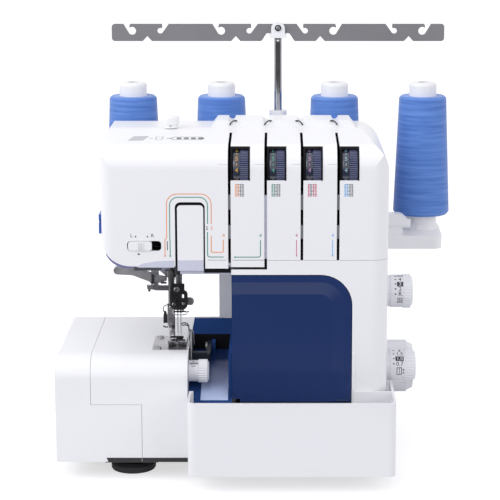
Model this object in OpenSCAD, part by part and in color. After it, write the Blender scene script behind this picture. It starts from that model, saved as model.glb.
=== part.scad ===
// Four-thread overlock machine (serger): a free-arm bed on the left, a column with the looper
// compartment on the right, an arm across the top with four tension dials, a spool stand with
// a telescopic thread mast behind, and a trim bin in front.
// Millimetres, feet on z = 0, the front faces -Y and +X is to the right.

/* [Body] */
// X of the line through the mast and the middle of the cones
mast_x = 15.6; // [12:0.1:20]
// Y of the flat front of the body
front_y = -99.5; // [-102:0.5:-97]
// Depth of the body from its front to its back
body_depth = 152; // [146:1:160]
// X of the right-hand side of the body
body_right = 113.4; // [111:0.1:120]
// X of the left-hand side of the column
column_left = -25.6; // [-28:0.1:-24]
// Height of the underside of the body above the floor
body_z = 16.6; // [15:0.1:20]
// Thickness of the moulded covers
wall = 2.6; // [2:0.1:3]
// Gap between moulded pieces that move past each other
gap = 0.3; // [0.2:0.05:0.5]

/* [Arm] */
// X of the left-hand end of the head
head_left = -140.2; // [-144:0.2:-136]
// Height of the lower edge of the arm over the column
arm_z = 203; // [201:0.5:206]
// Height of the lower edge of the head
head_z = 197.4; // [196:0.2:199]
// Height of the highest line of the arm
crest_z = 308; // [304:0.5:314]
// Y of the highest line of the arm
crest_y = -11.5; // [-20:0.5:0]
// Slope of the top of the arm from the front to its highest line, in degrees
top_slope = 3.2; // [2:0.1:5]
// Radius along the front top edge of the arm
arm_front_r = 20; // [16:1:22]
// Radius of the top right-hand corner of the arm
arm_corner_r = 30; // [24:1:34]
// Radius of the lower left-hand corner of the head
head_corner_r = 26; // [20:1:28]
// Radius of the upright front edge of the arm and the column on the right
side_edge_r = 15; // [10:1:18]
// Radius of the upright front edge of the head on the left
head_edge_r = 10; // [6:1:12]

/* [Thread slots and tension dials] */
// X of the first thread slot
slot_x = -27; // [-28:0.1:-26]
// Distance from one thread slot to the next
slot_pitch = 31.8; // [30:0.1:33]
// Width of a thread slot
slot_w = 2.4; // [2:0.1:3]
// Y at which the thread slots end on the top of the arm
slot_back_y = -33.5; // [-40:0.5:-28]
// Radius of a tension dial
dial_r = 17.6; // [16:0.1:18]
// Width of a tension dial
dial_w = 13.2; // [11:0.1:14]
// Depth of the dials' axis behind the front of the body
dial_depth = 16.6; // [16.2:0.1:17.4]
// Height of the dials' axis
dial_z = 283; // [280:0.5:284]
// Number of ribs round a tension dial
dial_ribs = 64; // [40:2:80]

/* [Bed and free arm] */
// X of the left-hand end of the bed
bed_left = -184; // [-190:0.5:-180]
// X of the right-hand side of the free arm
bed_right = -65.4; // [-66:0.1:-65]
// Height of the sewing surface
bed_z = 114; // [112:0.5:116]
// Underside of the free arm once the attachment is off
free_arm_z = 70.6; // [66:0.2:76]
// X at which the attachment meets the end of the free arm
free_arm_left = -152; // [-156:0.5:-148]
// X at which the attachment meets the base of the free arm
free_base_left = -106.5; // [-110:0.5:-103]
// Radius along the front top edge of the bed
bed_front_r = 20; // [14:1:24]

/* [Needles and presser foot] */
// X of the needle bar
needle_bar_x = -75.2; // [-75.6:0.1:-74.8]
// Y of the needle bar and needles
needle_y = -41.5; // [-42:0.1:-41]
// Radius of the needle bar
needle_bar_r = 3; // [2.6:0.1:3.1]
// Distance between the two needles
needle_pitch = 2.8; // [2.4:0.1:3.2]
// Radius of a needle
needle_r = 0.45; // [0.4:0.01:0.5]
// Height of the needle points at rest
needle_tip_z = 118.8; // [118:0.1:120]
// X of the presser bar
presser_x = -82.5; // [-83:0.1:-82.3]
// Y of the presser bar
presser_y = -36; // [-36.5:0.1:-35.5]
// Radius of the presser bar
presser_r = 3; // [2.6:0.1:3]
// Width of the presser foot
foot_w = 16.4; // [15:0.2:17]
// Length of the presser foot
foot_l = 36; // [32:1:38]

/* [Knobs and handwheel] */
// Radius of the stitch length dial and the differential feed dial
side_dial_r = 15.5; // [14:0.5:16]
// Y of the axis of both dials on the right-hand side
side_dial_y = -51.5; // [-53:0.5:-50]
// Height of the stitch length dial
length_dial_z = 164; // [150:1:176]
// Height of the differential feed dial
feed_dial_z = 94; // [92:0.5:110]
// Radius of the handwheel
handwheel_r = 25; // [22:0.5:26]
// Distance of the main shaft from the back of the body
shaft_back = 24; // [23.5:0.5:27]
// Height of the main shaft
shaft_z = 71; // [68:0.5:74]
// Radius of the main shaft
shaft_r = 5; // [4:0.1:5.5]
// Radius of the stitch width knob
width_knob_r = 10.5; // [9:0.5:11]

/* [Trim bin and looper cover] */
// X of the left-hand side of the trim bin
bin_left = -64; // [-64.5:0.1:-62]
// X of the right-hand side of the trim bin
bin_right = 119.4; // [119:0.1:126]
// Depth of the trim bin from front to back
bin_depth = 38.5; // [32:0.5:46]
// Radius of the trim bin's front corners
bin_corner_r = 6.5; // [4:0.5:9]
// Height of the floor of the trim bin
bin_z = 16; // [14:0.5:18]
// Height of the rim of the trim bin
bin_rim_z = 83.3; // [78:0.1:83.5]
// X of the right-hand edge of the looper cover
cover_right = 81.2; // [76:0.1:86]
// Height of the top edge of the looper cover
cover_top_z = 189.5; // [184:0.5:192]
// Radius of the looper cover's top right-hand corner
cover_corner_r = 28; // [22:1:34]

/* [Spool stand and mast] */
// Length of the spool stand
stand_w = 317.6; // [312:0.2:322]
// Depth of the spool stand
stand_d = 86; // [80:1:92]
// Height of the top of the spool stand
stand_z = 194; // [190:0.5:198]
// Height of the side of the spool stand
stand_h = 13; // [11:0.5:15]
// Offset of the inner cones from the mast
inner_cone = 55; // [54:0.5:56]
// Offset of the outer cones from the mast
outer_cone = 141; // [139:0.5:142]
// Radius of the thread at the foot of a cone
cone_r = 27.4; // [24:0.2:28]
// Radius of the thread at the top of a cone
cone_top_r = 22.5; // [18:0.5:24]
// Height of the wound thread on a cone
cone_h = 116.5; // [100:0.5:118]
// Radius of the white cone's neck above the thread
cone_neck_r = 13.3; // [12:0.1:15]
// Outer radius of the mast's sliding tube
mast_r = 3.9; // [3.6:0.1:4.2]
// Length of the thread tree
tree_w = 321.4; // [310:0.2:330]
// Height of the thread tree's plate
tree_h = 16.6; // [15:0.2:18]
// Height of the lower edge of the thread tree
tree_z = 377.6; // [374:0.2:386]

/* [Hidden] */
$fn = 64;
rear_y = front_y + body_depth;
inner_front_y = front_y + wall;
rear_plate_y = rear_y - wall;
rear_top_r = 18;
shaft_y = rear_y - shaft_back;
beam_y = [rear_y - 38.5, rear_y - 10.5];
beam_z = [212, 236];
bearing_gap = 0.05;

// Arm: the top of the front face, the panels' lower tongues and the take-up channel
slots = [for (i = [0 : 3]) slot_x + i * slot_pitch];
dial_y = front_y + dial_depth;
dial_x0 = slot_w / 2 + 2.2;
window_w = dial_x0 + dial_w + 0.5;
window_z = dial_z - 8.8;
window_back_y = front_y + 10.4;
take_up_left = -74.8;
take_up_right = -48.5;
take_up_top = 254.9;
take_up_gap = [2, 2.8, 1.4];
slider_z = [211.3, 220.3];
slider_x = [-117, -87];
slider_travel = 8;
tongue_z = head_z - 0.6;
notch_z = tongue_z - 2.4;
rear_screws = [[-30, 226], [70, 226]];

// Bed: opening for the needle plate
plate_x = [-98.4, bed_right - 0.9];
plate_y = [-72.5, -22.5];
plate_t = 1.6;
plate_seat = 3;
loop_slot_y = [-56, -34];
loop_slot_z = 52;

// Base: foot pads and their centres
foot_pad_r = 20.5;
foot_pad_h = 8;
foot_neck_h = 3.5;
pad_front_y = front_y + 35.5;
pad_rear_y = rear_y - 24.5;
pad_left_x = -117.5;
pad_right_x = 84;
pan_z = foot_pad_h + foot_neck_h;

// Looper compartment
base_top_z = 69.5;
compartment_z = base_top_z + 0.7;
cover_t = 5;
barrel_r = 8;
hinge_pin_r = 2;
cover_axis_y = front_y + barrel_r;
cover_axis_z = compartment_z + gap + barrel_r;
chute_t = 3;
chute_right = column_left - gap;
chute_left = bed_right + gap;
chute_back_y = -14.5;
chute_high_z = 98.5;
chute_low_z = 73.5;
looper_notch_w = 13;
bin_notch = 4;
bin_back_z = 66;

// Drive
pulley_x = 92;
pulley_w = 9;
shaft_pulley_r = 19;
motor_pulley_r = 5;
motor_y = shaft_y - 16.5;
motor_z = 132;
motor_r = 23;
motor_x = [26, 78];
belt_t = 1.6;
side_plate_x = [78, 83];
left_plate_x = [-16, -11];
rocker_pivot = [body_right - 4.4, 32];
rocker_pin_r = 1.4;
inlet_y = [rear_y - 38.5, rear_y - 10.5];
switch_y = [inlet_y[0] - 36, inlet_y[0] - 18];
inlet_z = [23, 41];

// Loopers and knives
lower_pivot = [-86, 58];
upper_pivot = [-71, 58];
looper_pin_r = 2.5;
lower_looper_y = [-40.6, -38.8];
upper_looper_y = [-47.6, -45.6];
bracket_y = -32;
knife_pivot = [-22, 104];
knife_arm_x = [-50, -46.4];
knife_screw_r = 2.5;
knife_bracket_x = [knife_arm_x[1] + gap, knife_arm_x[1] + gap + 3.4];

// Needle clamp: depth of the needle shanks in its block
shank_seat = 5;

// Presser lifter
lifter_pivot = [-98, 171];
collar_z = 174;
collar_r = 5.5;

// Stand
stand_y = rear_y;
cone_y = rear_y + stand_d / 2;
cone_z = stand_z + 14.4;
pedestal_h = cone_z - gap - stand_z;
cone_xs = [mast_x - outer_cone, mast_x - inner_cone, mast_x + inner_cone, mast_x + outer_cone];
post_top_z = 310.5;
post_r = 8.5;
mast_bore_z = stand_z - 6;
core_t = 1.6;
holder_h = 30;
pin_r = 3.4;
function core_inside(h) = cone_r - 4 - (cone_r - 4 - cone_neck_r + core_t) * h / cone_h;
rod_r = 3.2;
tube_foot_z = tree_z - 127.6;
rod_top_z = tree_z - 39.6;
tree_t = 2;
bracket_w = 13.2;

// ---------------------------------------------------------------- shared shapes

function unit(v) = v / norm(v);
function arc_steps(r) = r > 12 ? 12 : r > 4 ? 6 : 4;
function corner_points(before, p, after, r) =
    r <= 0 ? [p] :
    let (
        a = unit(before - p),
        b = unit(after - p),
        half = acos(a * b) / 2,
        centre = p + unit(a + b) * r / sin(half),
        first = p + a * r / tan(half) - centre,
        last = p + b * r / tan(half) - centre,
        start = atan2(first[1], first[0]),
        sweep = (atan2(last[1], last[0]) - start + 540) % 360 - 180,
        steps = arc_steps(r)
    )
    [for (i = [0 : steps]) centre + r * [cos(start + sweep * i / steps), sin(start + sweep * i / steps)]];
function flat(p) = [p[0], p[1]];
function rounded(points) = [
    for (i = [0 : len(points) - 1])
        let (n = len(points), p = points[i])
            each corner_points(flat(points[(i + n - 1) % n]), flat(p), flat(points[(i + 1) % n]), p[2])
];

// A block from one corner to the opposite one
module box(low, high) {
    translate(low) cube(high - low);
}

// A flat outline in X and Z, pushed from y_front to y_back
module along_y(y_front, y_back) {
    translate([0, y_back, 0]) rotate([90, 0, 0]) linear_extrude(y_back - y_front) children();
}

// A flat outline in Y and Z, pushed from x_left to x_right
module along_x(x_left, x_right) {
    translate([x_left, 0, 0]) rotate([90, 0, 90]) linear_extrude(x_right - x_left) children();
}

// A round bar along X, Y or Z
module rod_x(x_left, x_right, y, z, r) {
    translate([x_left, y, z]) rotate([0, 90, 0]) cylinder(r = r, h = x_right - x_left);
}

module rod_y(y_front, y_back, x, z, r) {
    translate([x, y_back, z]) rotate([90, 0, 0]) cylinder(r = r, h = y_back - y_front);
}

module rod_z(z_low, z_high, x, y, r) {
    translate([x, y, z_low]) cylinder(r = r, h = z_high - z_low);
}

// Plan outline of the body from x_left to x_right with rounded front edges, shrunk by inset
module body_plan(x_left, x_right, left_r, inset = 0) {
    polygon(rounded([
        [x_left + inset, rear_y - inset, 0],
        [x_left + inset, front_y + inset, max(left_r - inset, 0)],
        [x_right - inset, front_y + inset, side_edge_r - inset],
        [x_right - inset, rear_y - inset, 0]
    ]));
}

// Side outline of the arm, shrunk by inset
module arm_side(inset = 0) {
    rise = inset * tan(top_slope) - inset / cos(top_slope);
    front_z = crest_z - (crest_y - front_y) * tan(top_slope) + rise;
    polygon(rounded([
        [front_y + inset, head_z - 40, 0],
        [front_y + inset, front_z, max(arm_front_r - inset, 1)],
        [crest_y, crest_z - inset, 0],
        [rear_y - inset, crest_z - inset, max(rear_top_r - inset, 1)],
        [rear_y - inset, head_z - 40, 0]
    ]));
}

// Front outline of the arm; its lower edge steps up from the head to the column
module arm_front() {
    polygon(rounded([
        [head_left, head_z, head_corner_r],
        [head_left, crest_z + 1, 5],
        [body_right, crest_z + 1, arm_corner_r],
        [body_right, arm_z, 0],
        [take_up_right, arm_z, 0],
        [take_up_right, head_z, 0]
    ]));
}

// Hollow of the arm seen from the front, open below
module arm_hollow() {
    polygon(rounded([
        [head_left + wall, head_z + wall, head_corner_r - wall],
        [head_left + wall, crest_z + 1, 3],
        [body_right - wall, crest_z + 1, arm_corner_r],
        [body_right - wall, head_z - 20, 0],
        [head_left + head_corner_r, head_z - 20, 0],
        [head_left + head_corner_r, head_z + wall, 0]
    ]));
}

// ---------------------------------------------------------------- base

// Bottom plate that closes the body from below and carries the feet
module base_pan() {
    vent = [30, 2.4];
    color("gainsboro")
    difference() {
        union() {
            box([column_left + 6, -56, pan_z], [body_right - 8, rear_y - 6, body_z]);
            box([free_base_left + 4, -52, pan_z], [column_left + 7, rear_y - 6, body_z]);
            for (y = [pad_front_y, pad_rear_y]) {
                box([pad_left_x - 24, y - 22, pan_z], [pad_left_x + 24, y + 22, body_z]);
                box([pad_right_x - 24, y - 22, pan_z], [pad_right_x + 24, y + 22, body_z]);
            }
        }
        for (i = [0 : 8])
            translate([-10 + i * 7, -10, pan_z - 1]) cube([vent[1], vent[0], 20]);
    }
}

// Four soft feet with a hollowed sole and a neck pressed against the bottom plate
module rubber_feet() {
    color("dimgray")
    for (x = [pad_left_x, pad_right_x])
        for (y = [pad_front_y, pad_rear_y])
            translate([x, y, 0])
            rotate_extrude()
            polygon([
                [0, 1.5], [foot_pad_r - 4, 1.5], [foot_pad_r - 3, 0], [foot_pad_r - 0.8, 0],
                [foot_pad_r, 1.5], [foot_pad_r, foot_pad_h - 2.5], [foot_pad_r - 3, foot_pad_h],
                [10, foot_pad_h], [9, pan_z], [0, pan_z]
            ]);
}

// Cast chassis: floor plate, two shaft plates, post, arm beam, head block and the beam that
// carries the loopers under the needle plate
module machine_frame() {
    post_x = [-8, 20];
    lift_x = [lifter_pivot[0] - 3.5, lifter_pivot[0] + 3.5];
    color("silver")
    difference() {
        union() {
            box([left_plate_x[0] - 4, -30, body_z + wall], [side_plate_x[1] + 10, rear_plate_y - 1, 25]);
            box([left_plate_x[0], shaft_y - 20.5, 25], [left_plate_x[1], rear_plate_y - 1, 96]);
            box([side_plate_x[0], motor_y - motor_r, 25], [side_plate_x[1], rear_plate_y - 1, motor_z + motor_r]);
            box([post_x[0], beam_y[0] + 4, 25], [post_x[1], rear_plate_y - 4, beam_z[1]]);
            box([-90, beam_y[0], beam_z[0]], [60, beam_y[1], beam_z[1]]);
            box([-91, -50, beam_z[0]], [-67, beam_y[0] + 1, beam_z[1]]);
            box([free_base_left + 7, -30, 25], [left_plate_x[0], -8, 42]);
            box([lower_pivot[0] - 7, bracket_y, 25], [bed_right - wall - gap, bracket_y + 4, upper_pivot[1] + 7]);
            box([lift_x[0], presser_y + 8, lifter_pivot[1] - 5], [lift_x[1], presser_y + 11, beam_z[0] + 10]);
            box([lift_x[0], presser_y + 8, beam_z[0]], [-90, presser_y + 11, beam_z[0] + 10]);
            rod_y(lower_looper_y[0] - 2, bracket_y + 1, lower_pivot[0], lower_pivot[1], looper_pin_r);
            rod_y(upper_looper_y[0] - 1.5, bracket_y + 1, upper_pivot[0], upper_pivot[1], looper_pin_r);
            rod_y(presser_y - 1, presser_y + 9, lifter_pivot[0], lifter_pivot[1], looper_pin_r);
        }
        rod_x(left_plate_x[0] - 1, side_plate_x[1] + 1, shaft_y, shaft_z, shaft_r + bearing_gap);
        rod_x(side_plate_x[0] - 1, side_plate_x[1] + 1, motor_y, motor_z, 9);
        rod_z(beam_z[0] - 1, beam_z[1] + 1, needle_bar_x, needle_y, needle_bar_r + bearing_gap);
        rod_z(beam_z[0] - 1, beam_z[1] + 1, presser_x, presser_y, presser_r + bearing_gap);
        for (i = [0 : 2])
            box([post_x[0] - 1, shaft_y - 6.5, 50 + i * 48], [post_x[1] + 1, beam_y[1], 86 + i * 48]);
    }
}

// ---------------------------------------------------------------- housings

// Opening for the looper cover, which runs out through the left-hand edge
module cover_outline(inset, run_out) {
    polygon(rounded([
        [column_left - run_out, compartment_z - run_out, 0],
        [column_left - run_out, cover_top_z - inset, 0],
        [cover_right - inset, cover_top_z - inset, cover_corner_r - inset],
        [cover_right - inset, compartment_z - run_out, 0]
    ]));
}

// White shell of the column and of the low base beside it, with the hinge rod of the looper cover
module column_housing() {
    boss_x = [column_left + wall + gap, column_left + wall + gap + 4];
    top_z = arm_z - gap;
    color("white")
    difference() {
        union() {
            difference() {
                union() {
                    intersection() {
                        translate([0, 0, body_z])
                            linear_extrude(top_z - body_z) body_plan(column_left, body_right, 0);
                        box([column_left, front_y, body_z], [body_right, rear_plate_y, top_z]);
                    }
                    box([chute_left, front_y, body_z], [column_left + 1, rear_plate_y, base_top_z]);
                }
                translate([0, 0, body_z + wall])
                    linear_extrude(top_z - body_z) body_plan(column_left, body_right, 0, wall);
                box([column_left + wall, rear_plate_y - 1, body_z + wall], [body_right - wall, rear_y, top_z + 1]);
                box([chute_left - 1, inner_front_y, body_z + wall], [column_left + 4, rear_y, base_top_z - wall]);
                along_y(front_y - 1, cover_axis_y + barrel_r + gap) cover_outline(-gap, 1);
                box([chute_left - 1, loop_slot_y[0], base_top_z - wall - 1],
                    [chute_left + looper_notch_w, loop_slot_y[1], base_top_z + 1]);
                box([column_left - 1, front_y - 1, notch_z], [slots[1] + slot_w / 2, inner_front_y + 3, top_z + 1]);
            }
            rod_x(boss_x[0], boss_x[1], cover_axis_y, cover_axis_z, hinge_pin_r + 0.6);
            box([boss_x[0], cover_axis_y, cover_axis_z - 2.6], [boss_x[1], cover_axis_y + 18, cover_axis_z + 2.6]);
            box([column_left + 1, cover_axis_y + barrel_r + 2, cover_axis_z - 2.6],
                [boss_x[1], cover_axis_y + 18, cover_axis_z + 2.6]);
            rod_x(boss_x[1] - 1, boss_x[1] + 9, cover_axis_y, cover_axis_z, hinge_pin_r);
            box([cover_right + gap, inner_front_y - 1, cover_axis_z - 6],
                [cover_right + gap + 5, cover_axis_y + 4, cover_axis_z + 6]);
            rod_x(cover_right - 9, cover_right + gap + 1, cover_axis_y, cover_axis_z, hinge_pin_r);
        }
        rod_x(body_right - wall - 1, body_right + 1, side_dial_y, length_dial_z, 4.3);
        rod_x(body_right - wall - 1, body_right + 1, side_dial_y, feed_dial_z, 4.3);
        rod_x(body_right - wall - 1, body_right + 1, shaft_y, shaft_z, shaft_r + 1.5);
        box([body_right - wall - 1, inlet_y[0], inlet_z[0]], [body_right + 1, inlet_y[1], inlet_z[1]]);
        box([body_right - wall - 1, switch_y[0], inlet_z[0]], [body_right + 1, switch_y[1], inlet_z[1]]);
        for (i = [0 : 9])
            box([20 + i * 7, -30, body_z - 1], [22.5 + i * 7, 0, body_z + wall + 1]);
    }
}

// White back of the body, with a louvred vent and a flange beside the column
module rear_cover() {
    flange_x = -41.4;
    top_z = crest_z - rear_top_r;
    vents = 9;
    color("white")
    difference() {
        union() {
            intersection() {
                along_y(rear_plate_y, rear_y) arm_front();
                box([head_left - 1, rear_plate_y - 1, head_z - 1], [body_right + 1, rear_y + 1, top_z]);
            }
            box([column_left, rear_plate_y, body_z], [body_right, rear_y, arm_z + 1]);
            box([flange_x, rear_plate_y, bed_z], [column_left + 1, rear_y, arm_z + 1]);
            box([chute_left, rear_plate_y, body_z], [column_left + 1, rear_y, base_top_z]);
        }
        for (i = [0 : vents - 1])
            translate([30, rear_plate_y - 1, 96 + i * 8]) cube([60, wall + 2, 3.2]);
        for (p = rear_screws)
            rod_y(rear_plate_y - 1, rear_y + 1, p[0], p[1], 1.7);
    }
}

// White arm cover: one shell over the head and the arm, with four thread slots, the windows of the
// tension dials, the take-up channel and the slider's slot
module arm_cover() {
    left_tongue_z = head_z - 1.9;
    tongue_right = column_left - 2.3;
    color("white")
    difference() {
        union() {
            difference() {
                intersection() {
                    along_y(front_y - 1, rear_y + 1) arm_front();
                    along_x(head_left - 1, body_right + 1) arm_side();
                    translate([0, 0, head_z - 1])
                        linear_extrude(crest_z) body_plan(head_left, body_right, head_edge_r);
                }
                intersection() {
                    along_y(front_y, rear_y + 2) arm_hollow();
                    along_x(head_left, body_right) arm_side(wall);
                    translate([0, 0, head_z - 30])
                        linear_extrude(crest_z) body_plan(head_left, body_right, head_edge_r, wall);
                }
                box([head_left - 1, rear_plate_y, head_z - 2], [body_right + 1, rear_y + 2, crest_z - rear_top_r]);
            }
            box([take_up_right - 1, front_y, left_tongue_z], [tongue_right, inner_front_y, arm_z + 1]);
            box([slots[0], front_y, tongue_z], [slots[1], inner_front_y, arm_z + 1]);
        }
        for (x = slots) {
            box([x - slot_w / 2, front_y - 2, head_z - 10], [x + slot_w / 2, slot_back_y, crest_z + 2]);
            box([x, front_y - 2, window_z], [x + window_w, window_back_y, crest_z]);
            rod_x(x + dial_x0 - 0.5, x + window_w, dial_y, dial_z, dial_r + 0.5);
        }
        along_y(front_y - 1, inner_front_y + 1) polygon(rounded([
            [take_up_left, head_z - 10, 0], [take_up_left, take_up_top, 5],
            [take_up_right, take_up_top, 5], [take_up_right, head_z - 10, 0]
        ]));
        along_y(front_y - 1, inner_front_y + 1) polygon(rounded([
            [slider_x[0], slider_z[0], 3], [slider_x[0], slider_z[1], 3],
            [slider_x[1], slider_z[1], 3], [slider_x[1], slider_z[0], 3]
        ]));
        rod_z(crest_z - 10, crest_z + 5, presser_x, crest_y, 4.2);
        box([head_left - 1, front_y + 12, 224], [head_left + 1.6, front_y + 36, 242]);
    }
}

// Raised cover on the top of the arm with a guide notch for each thread
module top_guide_cover() {
    lid_x = [mast_x - 56, mast_x + 66];
    lid_y = [crest_y + 4.5, crest_y + 39.5];
    lid_z = crest_z + 6.5;
    ramp = 5;
    color("white")
    difference() {
        along_y(lid_y[0], lid_y[1]) polygon([
            [lid_x[0] - ramp, crest_z], [lid_x[0], lid_z],
            [lid_x[1], lid_z], [lid_x[1] + ramp, crest_z]
        ]);
        for (x = slots)
            rod_y(lid_y[0] - 1, lid_y[1] + 1, x, lid_z, 3.2);
    }
}

// Plate that closes the head from below, with a deeper lip beside the column
module arm_underside() {
    plate_z = [head_z + 0.2, head_z + wall];
    lip_z = 189.6;
    lip_x = [take_up_left + 4, column_left - 0.4];
    color("lavender")
    difference() {
        union() {
            box([head_left + head_corner_r + 1, inner_front_y, plate_z[0]], [lip_x[1], rear_plate_y, plate_z[1]]);
            box([lip_x[0], inner_front_y + 1, lip_z], [lip_x[1], rear_plate_y - 4, plate_z[0] + 1]);
        }
        box([lip_x[0] + wall, inner_front_y + 4, lip_z + wall], [lip_x[1] - wall, rear_plate_y - 8, plate_z[1] + 1]);
        rod_z(lip_z - 1, arm_z, needle_bar_x, needle_y, needle_bar_r + 1.2);
        rod_z(lip_z - 1, arm_z, presser_x, presser_y, presser_r + 1);
        box([lifter_pivot[0] - 4, presser_y + 7, lip_z], [lifter_pivot[0] + 4, presser_y + 12, arm_z]);
    }
}

// Small lamp under the head with its clear window
module work_lamp() {
    lamp_x = [-112, -88];
    color("dimgray")
    difference() {
        box([lamp_x[0], front_y + 9, 191.6], [lamp_x[1], front_y + 41, head_z + 0.2]);
        box([lamp_x[0] + 3, front_y + 12, 190], [lamp_x[1] - 3, front_y + 38, 193.2]);
    }
}

// Blue hooked thread cutter let into the left-hand end of the head
module thread_cutter() {
    color("royalblue")
    difference() {
        box([head_left - 2.6, front_y + 12.4, 224.4], [head_left + 1.6, front_y + 35.6, 241.6]);
        translate([0, front_y + 12, 236]) rotate([-35, 0, 0])
            box([head_left - 4, -2, -1.1], [head_left - 0.6, 9, 1.1]);
    }
}

// White tongue in the middle of the take-up channel, carried by two posts from behind
module take_up_cover() {
    x_left = take_up_left + take_up_gap[0];
    x_right = take_up_right - take_up_gap[2];
    top_z = take_up_top - take_up_gap[1];
    strap_y = inner_front_y + 4;
    color("white")
    union() {
        along_y(front_y, inner_front_y) polygon(rounded([
            [x_left, head_z - 4, 0], [x_left, top_z, 3],
            [x_right, top_z, 3], [x_right, head_z - 4, 0]
        ]));
        for (z = [222, 240])
            box([x_left + 8, inner_front_y, z], [x_right - 8, strap_y + 2, z + 4]);
        box([x_left + 8, strap_y, 222], [x_right - 8, strap_y + 2, 268]);
        box([x_left + 8, inner_front_y, 262], [x_right - 8, strap_y, 268]);
    }
}

// ---------------------------------------------------------------- bed

// Side outline of the bed, shrunk by inset
module bed_side(low_z, inset = 0) {
    polygon(rounded([
        [front_y + inset, low_z, 0],
        [front_y + inset, bed_z - inset, bed_front_r - inset],
        [rear_y - inset, bed_z - inset, 3],
        [rear_y - inset, low_z, 0]
    ]));
}

// White casing of the free arm and of its base, open below and towards the loopers
module bed_cover() {
    color("white")
    difference() {
        intersection() {
            along_x(free_arm_left - 1, bed_right) bed_side(body_z);
            along_y(front_y - 1, rear_y + 1) polygon([
                [free_arm_left, free_arm_z], [free_arm_left, bed_z + 1], [bed_right, bed_z + 1],
                [bed_right, body_z - 1], [free_base_left, body_z - 1], [free_base_left, free_arm_z]
            ]);
        }
        intersection() {
            along_x(free_arm_left, bed_right - wall) bed_side(body_z - 2, wall);
            along_y(front_y, rear_y) polygon([
                [free_arm_left + wall, free_arm_z + wall], [free_arm_left + wall, bed_z + 2],
                [bed_right - wall, bed_z + 2], [bed_right - wall, body_z - 2],
                [free_base_left + wall, body_z - 2], [free_base_left + wall, free_arm_z + wall]
            ]);
        }
        box([plate_x[0], plate_y[0], bed_z - plate_t], [plate_x[1], plate_y[1], bed_z + 1]);
        box([plate_x[0] + plate_seat, plate_y[0] + plate_seat, bed_z - wall - 1],
            [bed_right - wall, plate_y[1] - plate_seat, bed_z + 1]);
        box([bed_right - wall - 1, loop_slot_y[0], loop_slot_z], [bed_right + 1, loop_slot_y[1], bed_z - plate_t]);
        box([bed_right - wall - 1, -32, body_z + wall], [bed_right + 1, -6, 44]);
        rod_x(bed_right - wall - 1, bed_right + 1, -78, 96, 4.3);
    }
}

// White L-shaped piece that slides off to the left and leaves the free arm
module free_arm_attachment() {
    x_face = free_arm_left - gap;
    x_foot = free_base_left - gap;
    low_z = body_z + gap;
    step_z = free_arm_z - gap;
    color("white")
    difference() {
        intersection() {
            along_x(bed_left, x_foot) bed_side(low_z);
            along_y(front_y - 1, rear_y + 1) polygon(rounded([
                [bed_left, low_z - 1, 0], [bed_left, bed_z, 3], [x_face, bed_z + 1, 0],
                [x_face, step_z, 0], [x_foot, step_z, 0], [x_foot, low_z - 1, 0]
            ]));
        }
        intersection() {
            along_x(bed_left + wall, x_foot - wall) bed_side(low_z - 2, wall);
            along_y(front_y, rear_y) polygon([
                [bed_left + wall, low_z - 2], [bed_left + wall, bed_z + 1], [x_face - wall, bed_z + 1],
                [x_face - wall, step_z - wall], [x_foot - wall, step_z - wall], [x_foot - wall, low_z - 2]
            ]);
        }
    }
}

// Polished needle plate with the stitch finger slot and the slots of the feed dogs
module needle_plate() {
    play = 0.15;
    color("silver")
    difference() {
        box([plate_x[0] + play, plate_y[0] + play, bed_z - plate_t], [plate_x[1] - play, plate_y[1] - play, bed_z]);
        box([needle_bar_x - 3.6, needle_y - 2.2, bed_z - 3], [needle_bar_x + 3.6, needle_y + 2.2, bed_z + 1]);
        for (row = feed_rows())
            box([row[0] - 0.6, row[2] - 2.4, bed_z - 3], [row[1] + 0.6, row[3] + 2.4, bed_z + 1]);
        for (x = [plate_x[0] + 5])
            for (y = [plate_y[0] + 6, plate_y[1] - 6])
                rod_z(bed_z - 3, bed_z + 1, x, y, 1.7);
    }
}

// Each feed dog row: left, right, front, back
function feed_rows() = [
    [needle_bar_x - 8.4, needle_bar_x - 5.6, -62, -30],
    [needle_bar_x + 4.6, needle_bar_x + 6.8, -62, -32],
    [needle_bar_x - 3, needle_bar_x + 2.2, -35.4, -29]
];

// Two plate screws, the screws of the back and the shoulder screw of the upper knife
module screws() {
    head_r = 3;
    shank_r = 1.5;
    color("darkgray")
    union() {
        for (y = [plate_y[0] + 6, plate_y[1] - 6]) {
            rod_z(bed_z - 4, bed_z, plate_x[0] + 5, y, shank_r);
            difference() {
                rod_z(bed_z, bed_z + 1.2, plate_x[0] + 5, y, head_r);
                box([plate_x[0] + 1, y - 0.4, bed_z + 0.6], [plate_x[0] + 9, y + 0.4, bed_z + 2]);
            }
        }
        for (p = rear_screws) {
            rod_y(rear_plate_y - 4, rear_y, p[0], p[1], shank_r);
            rod_y(rear_y, rear_y + 1.4, p[0], p[1], head_r);
        }
        rod_x(knife_arm_x[0] - 0.4, knife_bracket_x[1], knife_pivot[0], knife_pivot[1], knife_screw_r);
        rod_x(knife_arm_x[0] - 2, knife_arm_x[0] - 0.4, knife_pivot[0], knife_pivot[1], 4);
    }
}

// Toothed bars that rise through the needle plate, on one carrier
module feed_dogs() {
    pitch = 1.6;
    tooth_h = 0.8;
    color("slategray")
    union() {
        for (row = feed_rows())
            along_x(row[0], row[1]) polygon(concat(
                [[row[3], bed_z - 5.5], [row[2], bed_z - 5.5]],
                [for (i = [0 : floor((row[3] - row[2]) / pitch) - 1])
                    each [[row[2] + i * pitch, bed_z - tooth_h], [row[2] + (i + 1) * pitch - 0.2, bed_z]]],
                [[row[3], bed_z - tooth_h]]
            ));
        box([needle_bar_x - 8.4, -36.4, bed_z - 6.5], [needle_bar_x + 6.8, -29, bed_z - 5]);
    }
}

// ---------------------------------------------------------------- needles, foot, loopers, knives

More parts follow.
